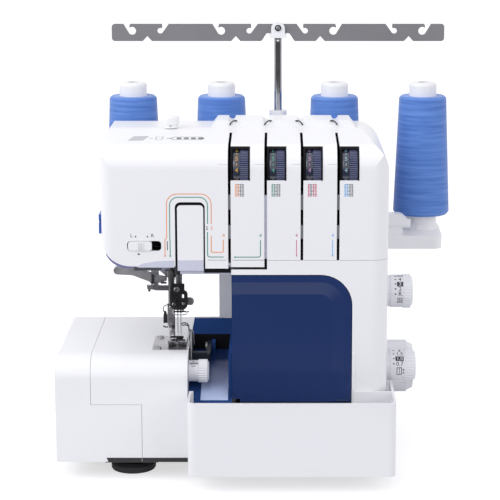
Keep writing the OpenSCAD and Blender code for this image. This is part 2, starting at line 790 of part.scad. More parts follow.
// Steel presser bar with the collar that the lifter raises
module presser_bar() {
    color("silver")
    union() {
        rod_z(bed_z + 12, 268, presser_x, presser_y, presser_r);
        rod_z(collar_z, collar_z + 6, presser_x, presser_y, collar_r);
        rod_z(246, 262, presser_x, presser_y, presser_r + 2.4);
    }
}

// Presser foot: a sole with an upturned toe and a needle slot, and the ankle that clips to the bar
module presser_foot() {
    sole_z = bed_z + gap;
    sole_t = 2.2;
    x_left = needle_bar_x + 7 - foot_w;
    x_right = x_left + foot_w;
    y_front = needle_y - 22;
    y_back = y_front + foot_l;
    color("silver")
    difference() {
        union() {
            along_x(x_left, x_right) polygon(rounded([
                [y_front + 6, sole_z, 0], [y_front, sole_z + 4.5, 0], [y_front, sole_z + 6, 0],
                [y_front + 7, sole_z + sole_t, 3], [y_back, sole_z + sole_t, 0.8], [y_back, sole_z, 0]
            ]));
            for (x = [x_left, presser_x + 1.6])
                box([x, presser_y - 2.5, sole_z + 1], [x + 1.4, presser_y + 2.5, sole_z + 8.5]);
            rod_x(x_left, presser_x + 3, presser_y, sole_z + 6, 1.1);
            box([presser_x - 0.6, presser_y - 2, sole_z + 4.6], [presser_x + 1.5, presser_y + 2, bed_z + 12]);
            rod_z(bed_z + 9.4, bed_z + 12, presser_x, presser_y, presser_r);
        }
        box([needle_bar_x - 3.2, needle_y - 3.5, bed_z], [needle_bar_x + 3.2, needle_y + 3.5, bed_z + 8]);
        box([x_left + foot_w / 2 - 0.6, y_front - 1, bed_z], [x_left + foot_w / 2 + 0.6, y_front + 10, bed_z + 9]);
    }
}

// Presser foot lifter: a long finger tongue outside and a short arm under the bar's collar
module presser_lifter() {
    y_front = presser_y - 0.5;
    y_back = presser_y + 7.7;
    color("silver")
    difference() {
        union() {
            rod_y(y_front, y_back, lifter_pivot[0], lifter_pivot[1], 5);
            along_y(y_front, y_back) polygon(rounded([
                [lifter_pivot[0] - 38, 176, 3.5], [lifter_pivot[0] - 37, 183, 3.5],
                [lifter_pivot[0] - 18, 182, 4], [lifter_pivot[0] - 2, 175.6, 0],
                [lifter_pivot[0] - 2, 168, 0], [lifter_pivot[0] - 20, 175, 6]
            ]));
            along_y(y_front, y_back - 4.2) polygon([
                [lifter_pivot[0] + 1, 167], [lifter_pivot[0] + 11.4, 170],
                [lifter_pivot[0] + 11.4, collar_z - 0.5], [lifter_pivot[0] + 1, 175]
            ]);
        }
        rod_y(y_front - 1, y_back + 1, lifter_pivot[0], lifter_pivot[1], looper_pin_r + bearing_gap);
    }
}

// White pressure adjusting knob on the top of the head
module pressure_knob() {
    color("white")
    difference() {
        union() {
            rod_z(crest_z + gap, crest_z + 4, presser_x, crest_y, 6.2);
            rod_z(crest_z - 22, crest_z + 1, presser_x, crest_y, 3.6);
            translate([presser_x, crest_y, crest_z + 3.6]) rotate_extrude() polygon(rounded([
                [0, 0, 0], [7.8, 0, 0.8], [7.8, 7.6, 2], [0, 8.6, 0]
            ]));
        }
        for (a = [0 : 15 : 345])
            translate([presser_x, crest_y, crest_z + 5]) rotate([0, 0, a]) translate([7.9, 0, 0])
                cylinder(r = 0.5, h = 8, $fn = 16);
    }
}

// Steel needle bar
module needle_bar() {
    color("silver")
    rod_z(clamp_z()[0] + shank_seat, 262, needle_bar_x, needle_y, needle_bar_r);
}

// Heights of the needle clamp at rest
function clamp_z() = [needle_tip_z + 27.5, needle_tip_z + 51.5];

// Dark needle clamp: a block round the bar, the stepped plate in front of it and the wire guide
module needle_clamp() {
    z = clamp_z();
    x_left = needle_bar_x - 4;
    color("dimgray")
    difference() {
        union() {
            box([x_left, needle_y - 4.6, z[0]], [needle_bar_x + 4, needle_y + 4.4, z[0] + 13]);
            along_y(needle_y - 6.8, needle_y - 4.6) polygon([
                [x_left, z[0]], [x_left, z[1]], [x_left + 9, z[1]], [x_left + 9, z[1] - 6],
                [x_left + 12, z[1] - 8], [x_left + 16.6, z[1] - 8], [x_left + 16.6, z[0] + 5],
                [x_left + 13, z[0]]
            ]);
            rod_y(needle_y - 8.6, needle_y - 6.8, x_left + 6.5, z[1] - 5, 2.6);
            rod_x(needle_bar_x - 5.4, needle_bar_x + 9.4, needle_y - 5.8, z[0] - 1.2, 0.7);
            rod_z(z[0] - 1.4, z[0] + 1, needle_bar_x + 3, needle_y - 5.8, 0.7);
        }
        rod_z(z[0] + shank_seat, z[0] + 14, needle_bar_x, needle_y, needle_bar_r);
        for (side = [-1, 1])
            rod_z(z[0] - 1, z[0] + shank_seat, needle_bar_x + side * needle_pitch / 2, needle_y, 1);
        box([x_left + 12.4, needle_y - 8, z[0] + 9], [x_left + 14.4, needle_y - 4, z[0] + 14]);
        for (p = [[3, 12], [8, 7], [9.4, 2.4]])
            rod_y(needle_y - 8, needle_y - 5, x_left + p[0], z[0] + p[1], 0.7);
    }
}

// Two needles with a thick shank, a slim blade and a point
module needles() {
    z = clamp_z();
    color("gainsboro")
    for (side = [-1, 1])
        translate([needle_bar_x + side * needle_pitch / 2, needle_y, 0])
        rotate_extrude()
        polygon([
            [0, needle_tip_z], [needle_r, needle_tip_z + 4], [needle_r, z[0] - 6],
            [0.95, z[0] - 4.6], [0.95, z[0] + shank_seat], [0, z[0] + shank_seat]
        ]);
}

// Upper looper: hub, curved arm to the right of the needle plate and an eyed tip
module upper_looper() {
    p = upper_pivot;
    tip_x = plate_x[1] - 0.4;
    color("silver")
    difference() {
        union() {
            rod_y(upper_looper_y[0], upper_looper_y[1], p[0], p[1], 5.5);
            along_y(upper_looper_y[0], upper_looper_y[1]) polygon(rounded([
                [p[0] - 3, p[1], 0], [tip_x + 2, 92, 8], [tip_x + 2.4, 117, 6], [tip_x, 124, 0],
                [tip_x + 1, 127.5, 0], [tip_x + 5.4, 124, 5], [tip_x + 6.4, 88, 10], [p[0] + 4, p[1], 0]
            ]));
        }
        rod_y(upper_looper_y[0] - 1, upper_looper_y[1] + 1, p[0], p[1], looper_pin_r + bearing_gap);
        rod_y(upper_looper_y[0] - 1, upper_looper_y[1] + 1, tip_x + 3, 122, 0.8);
    }
}

// Lower looper: hub, upright arm and a long pointed blade that passes behind the needles
module lower_looper() {
    p = lower_pivot;
    tip_x = needle_bar_x - needle_pitch / 2 - 2.4;
    color("silver")
    difference() {
        union() {
            rod_y(lower_looper_y[0], lower_looper_y[1], p[0], p[1], 5.5);
            along_y(lower_looper_y[0], lower_looper_y[1]) polygon(rounded([
                [p[0] - 4, p[1], 0], [p[0] - 8, 96, 8], [p[0] - 6, 104.6, 5], [tip_x, 106, 0],
                [tip_x - 1, 103.4, 0], [p[0] - 1, 100, 4], [p[0] + 4, p[1], 0]
            ]));
        }
        rod_y(lower_looper_y[0] - 1, lower_looper_y[1] + 1, p[0], p[1], looper_pin_r + bearing_gap);
        rod_y(lower_looper_y[0] - 1, lower_looper_y[1] + 1, tip_x - 2, 104.6, 0.6);
    }
}

// Moving knife: an arm swinging on the shoulder screw and the blade at its front end
module upper_knife() {
    blade_x = [bed_right + 1.6, bed_right + 3.2];
    blade_y = [-67, -56];
    color("gray")
    difference() {
        union() {
            rod_x(knife_arm_x[0], knife_arm_x[1], knife_pivot[0], knife_pivot[1], 5);
            box([knife_arm_x[0], blade_y[0] + 3, knife_pivot[1] - 3], [knife_arm_x[1], knife_pivot[0], knife_pivot[1] + 3.5]);
            box([blade_x[1], blade_y[0] + 3, knife_pivot[1] - 1], [knife_arm_x[0] + 1, blade_y[1] - 2, knife_pivot[1] + 5]);
            along_x(blade_x[0], blade_x[1]) polygon([
                [blade_y[0], 103], [blade_y[0] + 2, 127], [blade_y[1], 127], [blade_y[1], 103]
            ]);
        }
        rod_x(knife_arm_x[0] - 1, knife_arm_x[1] + 1, knife_pivot[0], knife_pivot[1], knife_screw_r + bearing_gap);
    }
}

// Fixed knife bolted to the side of the free arm, its edge level with the needle plate
module lower_knife() {
    color("gray")
    union() {
        box([bed_right, -66, 92], [bed_right + 1.3, -57, bed_z]);
        rod_x(bed_right + 1.3, bed_right + 1.6 - gap, -61.5, 97, 2);
    }
}

// ---------------------------------------------------------------- thread tension

// Tension dial: a smooth number band and a ribbed grip band on one hub
module tension_dial(i) {
    x = slots[i] + dial_x0;
    band = dial_w * 0.46;
    color("midnightblue")
    translate([x, dial_y, dial_z])
    rotate([0, 90, 0])
    difference() {
        union() {
            cylinder(r = dial_r - 0.7, h = band);
            translate([0, 0, band]) linear_extrude(dial_w - band) polygon([
                for (k = [0 : 2 * dial_ribs - 1])
                    let (a = k * 180 / dial_ribs, r = dial_r - 0.5 * (k % 2)) [r * cos(a), r * sin(a)]
            ]);
        }
        translate([0, 0, -1]) cylinder(r = 3 + bearing_gap, h = dial_w + 2);
        translate([0, 0, 2]) difference() {
            cylinder(r = dial_r - 3, h = dial_w);
            translate([0, 0, -1]) cylinder(r = 6, h = dial_w + 2);
        }
    }
}

// Black channels behind the thread slots, with a shaft and two tension discs for each dial
module tension_unit() {
    side = [3.6, 2.4];
    band_d = 24;
    groove_d = 17;
    plate_y0 = inner_front_y + gap + band_d;
    color("black")
    union() {
        difference() {
            for (x = slots)
                intersection() {
                    along_x(x - side[0], x + side[1]) difference() {
                        arm_side(wall + gap);
                        arm_side(wall + gap + band_d);
                    }
                    box([x - side[0] - 1, front_y, 206], [x + side[1] + 1, slot_back_y + 8, crest_z]);
                }
            for (x = slots)
                along_x(x - slot_w / 2, x + slot_w / 2) difference() {
                    arm_side(0);
                    arm_side(wall + gap + groove_d);
                }
        }
        box([slots[0] - side[0], plate_y0, 206], [slots[3] + side[1], plate_y0 + 3, 246]);
        box([column_left, inner_front_y + gap, notch_z + gap], [slots[1] + side[1], inner_front_y + gap + 1.4, 212]);
        for (x = [0, 50])
            box([x, plate_y0 + 2, beam_z[0] + 2], [x + 8, beam_y[0], beam_z[0] + 12]);
        for (x = slots) {
            rod_x(x - side[0], x + dial_x0 + dial_w - 1, dial_y, dial_z, 3);
            for (d = [-0.8, 0.4])
                rod_x(x + d, x + d + 0.4, dial_y, dial_z, 9);
        }
    }
}

// White slider with a ribbed thumb piece, held by a flange behind the cover
module thread_slider() {
    low_x = slider_x[0] + 0.8;
    high_x = slider_x[1] - 0.4 - slider_travel;
    back_y = inner_front_y + gap;
    color("white")
    union() {
        along_y(front_y - 0.8, back_y) polygon(rounded([
            [low_x, slider_z[0] + gap, 2.6], [low_x, slider_z[1] - gap, 2.6],
            [high_x, slider_z[1] - gap, 2.6], [high_x, slider_z[0] + gap, 2.6]
        ]));
        box([low_x, back_y - 0.01, slider_z[0] - 2], [high_x, back_y + 1.4, slider_z[1] + 2]);
        for (i = [0 : 2])
            box([low_x + 8.6 + i * 1.8, front_y - 2, slider_z[0] + 1.4], [low_x + 9.4 + i * 1.8, front_y, slider_z[1] - 1.4]);
    }
}

// ---------------------------------------------------------------- knobs, drive and electrics

// Ring of grip ribs round the Z axis
module grip_ring(r, h, ribs, depth) {
    linear_extrude(h) polygon([
        for (k = [0 : 2 * ribs - 1])
            let (a = k * 180 / ribs, q = r - depth * (k % 2)) [q * cos(a), q * sin(a)]
    ]);
}

// White stitch width knob on the right-hand side of the free arm
module stitch_width_knob() {
    color("white")
    translate([bed_right + gap, -78, 96])
    rotate([0, 90, 0])
    union() {
        translate([0, 0, -wall - 6]) cylinder(r = 4, h = wall + 7);
        cylinder(r = width_knob_r - 0.8, h = 9);
        translate([0, 0, 9]) grip_ring(width_knob_r, 8, 30, 0.6);
        translate([0, 0, 17]) cylinder(r1 = width_knob_r - 1.1, r2 = width_knob_r - 2.3, h = 1.4);
    }
}

// White dial on the right-hand side of the body: collar, number band, grip band and face
module side_dial(z, length) {
    r = side_dial_r;
    translate([body_right + gap, side_dial_y, z])
    rotate([0, 90, 0])
    union() {
        translate([0, 0, -wall - 8]) cylinder(r = 4, h = wall + 9);
        cylinder(r = r - 1.2, h = length * 0.16);
        translate([0, 0, length * 0.16]) cylinder(r = r - 0.6, h = length * 0.48);
        translate([0, 0, length * 0.64]) grip_ring(r, length * 0.28, 36, 0.5);
        translate([0, 0, length * 0.92]) cylinder(r1 = r - 1.2, r2 = r - 3, h = length * 0.08);
    }
}

module stitch_length_dial() {
    color("white") side_dial(length_dial_z, 24);
}

module differential_dial() {
    color("white") side_dial(feed_dial_z, 27.7);
}

// White handwheel with a ribbed rim, a dished face and a hub on the main shaft
module handwheel() {
    rim_w = 26;
    face_x = 5;
    color("white")
    translate([body_right + 1.4, shaft_y, shaft_z])
    rotate([0, 90, 0])
    difference() {
        union() {
            cylinder(r = handwheel_r - 4, h = 5);
            translate([0, 0, 5]) grip_ring(handwheel_r, rim_w - 7, 44, 0.9);
            translate([0, 0, rim_w - 2]) cylinder(r1 = handwheel_r - 1, r2 = handwheel_r - 4, h = 6);
        }
        translate([0, 0, rim_w + 1]) difference() {
            cylinder(r = handwheel_r - 6, h = face_x);
            translate([0, 0, -1]) cylinder(r = 8, h = face_x + 2);
        }
        translate([0, 0, -1]) cylinder(r = shaft_r, h = rim_w - 2);
    }
}

// Steel main shaft with a crank for the loopers
module main_shaft() {
    color("silver")
    union() {
        rod_x(left_plate_x[0] - 4, body_right + 1.4 + 23, shaft_y, shaft_z, shaft_r);
        rod_x(24, 30, shaft_y, shaft_z, 13);
        rod_x(30, 40, shaft_y, shaft_z + 7, 4);
        rod_x(40, 46, shaft_y, shaft_z, 13);
    }
}

// Pulley on the main shaft with a flange on each side
module shaft_pulley() {
    color("dimgray")
    difference() {
        union() {
            rod_x(pulley_x, pulley_x + pulley_w, shaft_y, shaft_z, shaft_pulley_r);
            rod_x(pulley_x - 2, pulley_x - 0.6, shaft_y, shaft_z, shaft_pulley_r + 1.8);
            rod_x(pulley_x - 0.6, pulley_x, shaft_y, shaft_z, shaft_pulley_r);
            rod_x(pulley_x + pulley_w, pulley_x + pulley_w + 5, shaft_y, shaft_z, 9);
        }
        rod_x(pulley_x - 3, pulley_x + pulley_w + 6, shaft_y, shaft_z, shaft_r);
    }
}

// Electric motor bolted to the chassis side plate
module motor() {
    color("dimgray")
    difference() {
        union() {
            rod_x(motor_x[0] + 8, motor_x[1], motor_y, motor_z, motor_r);
            rod_x(motor_x[0], motor_x[0] + 8, motor_y, motor_z, motor_r - 5);
            rod_x(motor_x[1], side_plate_x[1], motor_y, motor_z, 9);
        }
        rod_x(motor_x[1] - 6, side_plate_x[1] + 1, motor_y, motor_z, 3 + bearing_gap);
        for (a = [0 : 45 : 315])
            translate([motor_x[0] + 16, motor_y, motor_z]) rotate([a, 0, 0])
                box([0, motor_r - 2, -2], [40, motor_r + 1, 2]);
    }
}

// Small pulley on the motor's shaft
module motor_pulley() {
    color("gray")
    union() {
        rod_x(motor_x[1] - 4, pulley_x, motor_y, motor_z, 3);
        rod_x(pulley_x, pulley_x + pulley_w, motor_y, motor_z, motor_pulley_r);
        rod_x(pulley_x + pulley_w, pulley_x + pulley_w + 1.4, motor_y, motor_z, motor_pulley_r + 2.4);
    }
}

// Outline of a belt run round both pulleys, grown by t
module belt_outline(t) {
    big = [shaft_y, shaft_z];
    small = [motor_y, motor_z];
    rb = shaft_pulley_r + t;
    rs = motor_pulley_r + t;
    lean = acos((rb - rs) / norm(small - big));
    toward = atan2(small[1] - big[1], small[0] - big[0]);
    from = toward + lean;
    to = toward - lean;
    polygon(concat(
        [for (i = [0 : 24]) small + rs * [cos(from + (to - from) * i / 24), sin(from + (to - from) * i / 24)]],
        [for (i = [0 : 48]) big + rb * [cos(to + (from - 360 - to) * i / 48), sin(to + (from - 360 - to) * i / 48)]]
    ));
}

// Rubber drive belt from the motor to the main shaft
module drive_belt() {
    color("black")
    along_x(pulley_x + 0.8, pulley_x + pulley_w - 0.8) difference() {
        belt_outline(gap + belt_t);
        belt_outline(gap);
    }
}

// Rocker of the power switch, let into the right-hand side
module power_switch() {
    z = inlet_z[0] + 1;
    color("black")
    difference() {
        along_y(switch_y[0] + 0.6, switch_y[1] - 0.6) polygon(rounded([
            [body_right - 6, z, 0], [body_right - 6, z + 16, 0], [body_right + 0.4, z + 16, 1],
            [body_right - 0.6, z + 8, 6], [body_right + 2.4, z, 1]
        ]));
        rod_y(switch_y[0], switch_y[1], rocker_pivot[0], rocker_pivot[1], rocker_pin_r + bearing_gap);
    }
}

// Appliance inlet with three pins, and the pivot of the power switch beside it
module inlet_socket() {
    back = body_right - 18;
    low = inlet_z[0] + gap;
    high = inlet_z[1] - gap;
    color("black")
    union() {
        difference() {
            box([back, inlet_y[0] + gap, low], [body_right, inlet_y[1] - gap, high]);
            box([body_right - 14, inlet_y[0] + 3, low + 2.7], [body_right + 1, inlet_y[1] - 3, high - 2.7]);
        }
        for (i = [-1 : 1])
            box([back, (inlet_y[0] + inlet_y[1]) / 2 - 0.8 + i * 6, 30.4],
                [body_right - 4, (inlet_y[0] + inlet_y[1]) / 2 + 0.8 + i * 6, 33.6]);
        difference() {
            box([back, switch_y[1] - gap, low], [body_right - wall - gap, inlet_y[0] + 0.4, high]);
            box([back + 2, switch_y[1] + 2, low - 1], [body_right, inlet_y[0] - 2, high + 1]);
        }
        rod_y(switch_y[0] - 0.6, switch_y[1] + 1, rocker_pivot[0], rocker_pivot[1], rocker_pin_r);
        box([back, switch_y[0] - 3, low], [body_right - wall - gap, switch_y[0] - 0.4, high]);
    }
}

// ---------------------------------------------------------------- looper cover, chute and bin

// Navy looper cover: a thick rim with a sunk panel, a side flange and the hinge barrel
module front_cover() {
    rim = 6;
    bevel = 12;
    sink = 2.6;
    left = column_left + gap / 3;
    boss_right = column_left + wall + gap + 4;
    color("midnightblue")
    difference() {
        union() {
            intersection() {
                along_y(front_y, front_y + cover_t) cover_outline(gap, 0);
                box([left, front_y - 1, cover_axis_z - barrel_r * 0.4], [cover_right + 1, rear_y, arm_z]);
            }
            box([left, front_y + 1, cover_axis_z], [column_left + wall, cover_axis_y, cover_top_z - gap]);
            rod_x(boss_right + gap, cover_right - gap, cover_axis_y, cover_axis_z, barrel_r);
        }
        hull() {
            along_y(front_y - 0.2, front_y - 0.1) cover_outline(rim, 12);
            along_y(front_y + sink - 0.1, front_y + sink) cover_outline(rim + bevel, 12);
        }
        rod_x(boss_right, cover_right, cover_axis_y, cover_axis_z, hinge_pin_r + bearing_gap);
    }
}

// Navy trimmings chute: bed strip, drop wall and the slope into the bin, with a side wall
module trim_chute() {
    lip_y = front_y - 2;
    color("navy")
    difference() {
        union() {
            along_x(chute_left, chute_right) polygon([
                [rear_plate_y - gap, bed_z], [chute_back_y, bed_z], [chute_back_y, chute_high_z],
                [front_y - 0.5, chute_low_z], [lip_y, chute_low_z - 1], [lip_y, base_top_z],
                [front_y, base_top_z], [chute_back_y + chute_t, chute_high_z - chute_t],
                [chute_back_y + chute_t, bed_z - chute_t], [rear_plate_y - gap, bed_z - chute_t]
            ]);
            along_x(chute_right - chute_t, chute_right) polygon([
                [chute_back_y + 1, bed_z], [front_y + 8.3, bed_z], [front_y + 8.3, 74], [chute_back_y + 1, 97]
            ]);
            box([knife_bracket_x[0], knife_pivot[0] - 5, knife_pivot[1] - 12],
                [knife_bracket_x[1], chute_back_y + 1, knife_pivot[1] + 5]);
        }
        rod_x(knife_bracket_x[0] - 1, knife_bracket_x[1] + 1, knife_pivot[0], knife_pivot[1],
            knife_screw_r + bearing_gap);
        box([chute_left - 1, loop_slot_y[0], 60], [chute_left + looper_notch_w, loop_slot_y[1], bed_z - 1]);
        box([chute_left - 1, lip_y - 1, 60], [bin_left + bin_notch + gap, front_y, 80]);
    }
}

// White trim bin: open box in front of the body with a wing along its right-hand side
module trim_bin() {
    t = 2.2;
    back = front_y - 0.5;
    wing_back = -64.5;
    color("white")
    difference() {
        union() {
            difference() {
                bin_block(bin_z, 0);
                bin_block(bin_z + 2.4, t);
            }
            box([bin_right - t, back - 2, bin_z], [bin_right, wing_back, bin_rim_z]);
            box([body_right + 0.6, back - 2, bin_z], [bin_right, wing_back, bin_z + 2.4]);
        }
        box([bin_left + bin_notch, back - t - 1, bin_back_z], [cover_right + 2, back + 1, bin_rim_z + 1]);
    }
}

// Block of the trim bin from low_z up to its rim, with rounded front corners, shrunk by inset
module bin_block(low_z, inset) {
    back = front_y - 0.5;
    x = [bin_left + inset, bin_right - inset];
    y = [back - bin_depth + inset, back - inset];
    translate([0, 0, low_z]) linear_extrude(bin_rim_z - low_z + inset) polygon(rounded([
        [x[0], y[0], bin_corner_r - inset], [x[0], y[1], 0], [x[1], y[1], 0], [x[1], y[0], bin_corner_r - inset]
    ]));
}

// ---------------------------------------------------------------- spool stand, mast and threads

// White spool stand: a shallow tray with a pedestal and a pin for each cone, and the mast post
module spool_stand() {
    x = [mast_x - stand_w / 2, mast_x + stand_w / 2];
    low_z = stand_z - stand_h;
    color("white")
    difference() {
        union() {
            difference() {
                translate([0, 0, low_z]) linear_extrude(stand_h) polygon(rounded([
                    [x[0], stand_y, 8], [x[0], stand_y + stand_d, 14],
                    [x[1], stand_y + stand_d, 14], [x[1], stand_y, 8]
                ]));
                box([x[0] + wall, stand_y + wall, low_z - 1], [x[1] - wall, stand_y + stand_d - 12, stand_z - wall]);
            }
            for (rib = [-2 : 2])
                box([mast_x + rib * 52 - 1, stand_y + 1, low_z + 1], [mast_x + rib * 52 + 1, stand_y + stand_d - 11, stand_z - 1]);
            rod_z(low_z + 1, post_top_z, mast_x, cone_y, post_r);
            for (cx = cone_xs) {
                translate([cx, cone_y, stand_z - 1]) rotate_extrude() polygon([
                    [0, 0], [19, 0], [19, 1], [15.4, 6], [15, pedestal_h + 1], [0, pedestal_h + 1]
                ]);
                translate([cx, cone_y, cone_z]) rotate_extrude() polygon([
                    [0, -1], [12, -1], [12, 0], [core_inside(0) - gap, 0],
                    [core_inside(holder_h) - gap, holder_h], [0, holder_h]
                ]);
                rod_z(cone_z + holder_h - 1, cone_z + cone_h - 4, cx, cone_y, pin_r);
            }
            box([mast_x + 92, stand_y, stand_z - 1], [mast_x + 98, stand_y + 10, 207]);
            rod_x(mast_x + 97, mast_x + 128, stand_y + 5.5, stand_z + 11, 4.4);
            box([mast_x + 97, stand_y + 2, stand_z - 1], [mast_x + 120, stand_y + 9, stand_z + 11]);
            along_y(stand_y + 1, stand_y + 10) polygon(rounded([
                [mast_x + 92, stand_z + 10, 0], [mast_x + 92, 215.5, 3],
                [mast_x + 119, 215.5, 8], [mast_x + 128, stand_z + 13, 0], [mast_x + 128, stand_z + 10, 0]
            ]));
        }
        rod_z(mast_bore_z, post_top_z + 1, mast_x, cone_y, mast_r + bearing_gap * 2);
    }
}

// White hollow cone that the thread is wound on, with a rounded neck above the thread
module cone_core(i) {
    foot_r = core_inside(0) + core_t;
    neck_h = 13;
    color("white")
    translate([cone_xs[i], cone_y, cone_z])
    rotate_extrude()
    polygon(concat(
        [[core_inside(0), 0], [foot_r, 0], [cone_neck_r, cone_h]],
        corner_points([cone_neck_r, cone_h], [cone_neck_r, cone_h + neck_h], [5, cone_h + neck_h], 3.5),
        [[5, cone_h + neck_h], [5, cone_h + neck_h - 2], [core_inside(cone_h) - 0.6, cone_h + neck_h - 3],
        [core_inside(cone_h), cone_h]]
    ));
}

// Blue wound thread on its cone, a little barrelled at both ends
module thread_wind(i) {
    foot_r = core_inside(0) + core_t;
    clear = 0.02;
    color("royalblue")
    translate([cone_xs[i], cone_y, cone_z])
    rotate_extrude()
    polygon([
        [foot_r - (foot_r - cone_neck_r) * 0.6 / cone_h + clear, 0.6],
        [cone_r - 1.6, 0.6], [cone_r, 3], [cone_top_r + 0.4, cone_h - 2.4],
        [cone_top_r - 1.6, cone_h - 0.2], [cone_neck_r + clear, cone_h - 0.2]
    ]);
}

// Inner rod of the mast, fixed at the bottom of the stand's post
module mast_rod() {
    color("silver")
    rod_z(mast_bore_z, rod_top_z, mast_x, cone_y, rod_r);
}

// Chrome tube that slides over the rod, with a rivet near its top
module mast_tube() {
    color("silver")
    union() {
        difference() {
            rod_z(tube_foot_z, tree_z + 3, mast_x, cone_y, mast_r);
            rod_z(tube_foot_z - 1, tree_z - 3, mast_x, cone_y, rod_r + bearing_gap * 2);
        }
        rod_y(cone_y - mast_r - 0.6, cone_y - mast_r + 1, mast_x, tree_z + 0.2, 2.2);
    }
}

// Notch of the thread tree: a hole with a slanted way in from above; side is -1 from the left
module tree_notch(r, side) {
    rise = tree_z + tree_h - tree_notch_z();
    circle(r);
    polygon([[side * 9, rise + 1], [side * 1.6, rise + 1], [side * r * 0.75, rise * 0.55], [0, 0], [side * r * 0.7, -r * 0.75]]);
}

function tree_notch_z() = tree_z + tree_h - 6.7;

// Grey thread tree: a long plate with eight thread notches, cut back at the middle of its lower edge
module thread_tree() {
    x = [mast_x - tree_w / 2, mast_x + tree_w / 2];
    z = [tree_z, tree_z + tree_h];
    big = 3.8;
    small = 2.7;
    pairs = [-outer_cone, -inner_cone, inner_cone - 28.8, outer_cone - 28.8];
    vees = [-126.3, -40.8, 40.8, 126.3];
    color("gray")
    along_y(cone_y - tree_t / 2, cone_y + tree_t / 2) difference() {
        polygon(rounded([
            [x[0], z[0], 3], [x[0], z[1], 3], [x[1], z[1], 3], [x[1], z[0], 3],
            [mast_x + 16, z[0], 2], [mast_x + 11, z[0] + 7.6, 2],
            [mast_x - 11, z[0] + 7.6, 2], [mast_x - 16, z[0], 2]
        ]));
        for (i = [0 : 3]) {
            translate([mast_x + pairs[i], tree_notch_z()]) tree_notch(i < 2 ? big : small, -1);
            translate([mast_x + pairs[i] + 27.2, tree_notch_z()]) tree_notch(i < 2 ? small : big, 1);
            translate([mast_x + vees[i], z[0]]) polygon([[-5.4, -1], [5.4, -1], [0, 4.8]]);
        }
    }
}

// White bracket that clamps the tree on the top of the mast
module tree_bracket() {
    top_z = tree_z + 18.6;
    low_z = tree_z + 3.4;
    half = bracket_w / 2;
    color("white")
    difference() {
        union() {
            along_y(cone_y - 5.4, cone_y + 5.4) polygon(rounded([
                [mast_x - half, low_z + 1, 0], [mast_x - half, top_z, half - 0.2],
                [mast_x + half, top_z, half - 0.2], [mast_x + half, low_z + 1, 0]
            ]));
            box([mast_x - 8.2, cone_y - 6, low_z], [mast_x + 8.2, cone_y + 6, low_z + 3.4]);
            rod_y(cone_y - 6.4, cone_y - 5, mast_x, tree_z + 13, 2.9);
        }
        box([mast_x - 12, cone_y - tree_t / 2, low_z - 1], [mast_x + 12, cone_y + tree_t / 2, tree_z + tree_h]);
    }
}

base_pan();
rubber_feet();
machine_frame();
column_housing();
rear_cover();
arm_cover();
top_guide_cover();
arm_underside();
work_lamp();
thread_cutter();
take_up_cover();
bed_cover();
free_arm_attachment();
needle_plate();
screws();
feed_dogs();
presser_bar();
presser_foot();
presser_lifter();
pressure_knob();
needle_bar();
needle_clamp();
needles();
upper_looper();
lower_looper();
upper_knife();
lower_knife();
tension_dial(0);  // tension_dial_1
tension_dial(1);  // tension_dial_2
tension_dial(2);  // tension_dial_3
tension_dial(3);  // tension_dial_4
tension_unit();
thread_slider();
stitch_width_knob();
stitch_length_dial();
differential_dial();
handwheel();
main_shaft();
shaft_pulley();
motor();
motor_pulley();
drive_belt();
power_switch();
inlet_socket();
front_cover();
trim_chute();
trim_bin();
spool_stand();
cone_core(0);  // cone_core_1
cone_core(1);  // cone_core_2
cone_core(2);  // cone_core_3
cone_core(3);  // cone_core_4
thread_wind(0);  // thread_1
thread_wind(1);  // thread_2
thread_wind(2);  // thread_3
thread_wind(3);  // thread_4
mast_rod();
mast_tube();
thread_tree();
tree_bracket();
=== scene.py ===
import math

import bmesh
import bpy
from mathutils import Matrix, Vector


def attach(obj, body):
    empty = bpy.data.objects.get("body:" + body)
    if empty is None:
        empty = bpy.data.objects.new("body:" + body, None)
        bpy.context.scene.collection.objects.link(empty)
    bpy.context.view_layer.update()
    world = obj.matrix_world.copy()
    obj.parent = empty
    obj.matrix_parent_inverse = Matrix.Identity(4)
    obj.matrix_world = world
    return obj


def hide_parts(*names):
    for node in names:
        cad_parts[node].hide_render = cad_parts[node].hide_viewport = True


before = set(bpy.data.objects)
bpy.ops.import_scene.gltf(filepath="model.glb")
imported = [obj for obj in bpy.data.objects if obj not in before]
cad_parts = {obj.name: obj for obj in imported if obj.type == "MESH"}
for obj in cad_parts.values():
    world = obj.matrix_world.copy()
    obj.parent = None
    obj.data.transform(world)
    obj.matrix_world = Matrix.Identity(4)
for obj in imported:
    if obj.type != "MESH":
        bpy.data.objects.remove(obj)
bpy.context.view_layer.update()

# ---------------------------------------------------------------- camera, table and light
# The machine stands on a white table in soft, even light from a large window on the left,
# a paler one on the right and a ceiling lamp, and is seen from the front, a little from above.
scene = bpy.context.scene
scene.view_settings.view_transform = "Standard"
camera = bpy.data.objects.new("camera", bpy.data.cameras.new("camera"))
scene.collection.objects.link(camera)
camera.location = (0.0156, -1.6115, 0.5336)
camera.rotation_euler = (math.radians(78), 0, 0)
camera.data.lens = 126.6
camera.data.sensor_width = 36
camera.data.shift_x = -0.056
camera.data.clip_end = 20
scene.camera = camera


def node_of(tree, kind, **values):
    """A new node: lower-case names set the node, the others its inputs, by value or by link."""
    made = tree.nodes.new(kind)
    for name, value in values.items():
        if name.islower():
            setattr(made, name, value)
        elif isinstance(value, bpy.types.NodeSocket):
            tree.links.new(value, made.inputs[name.replace("_", " ")])
        else:
            made.inputs[name.replace("_", " ")].default_value = value
    return made


def maths(tree, operation, first, second=None, third=None):
    """The result of one Math node, from numbers or sockets."""
    step = node_of(tree, "ShaderNodeMath", operation=operation)
    for socket, value in zip(step.inputs, (first, second, third)):
        if isinstance(value, bpy.types.NodeSocket):
            tree.links.new(value, socket)
        elif value is not None:
            socket.default_value = value
    return step.outputs[0]


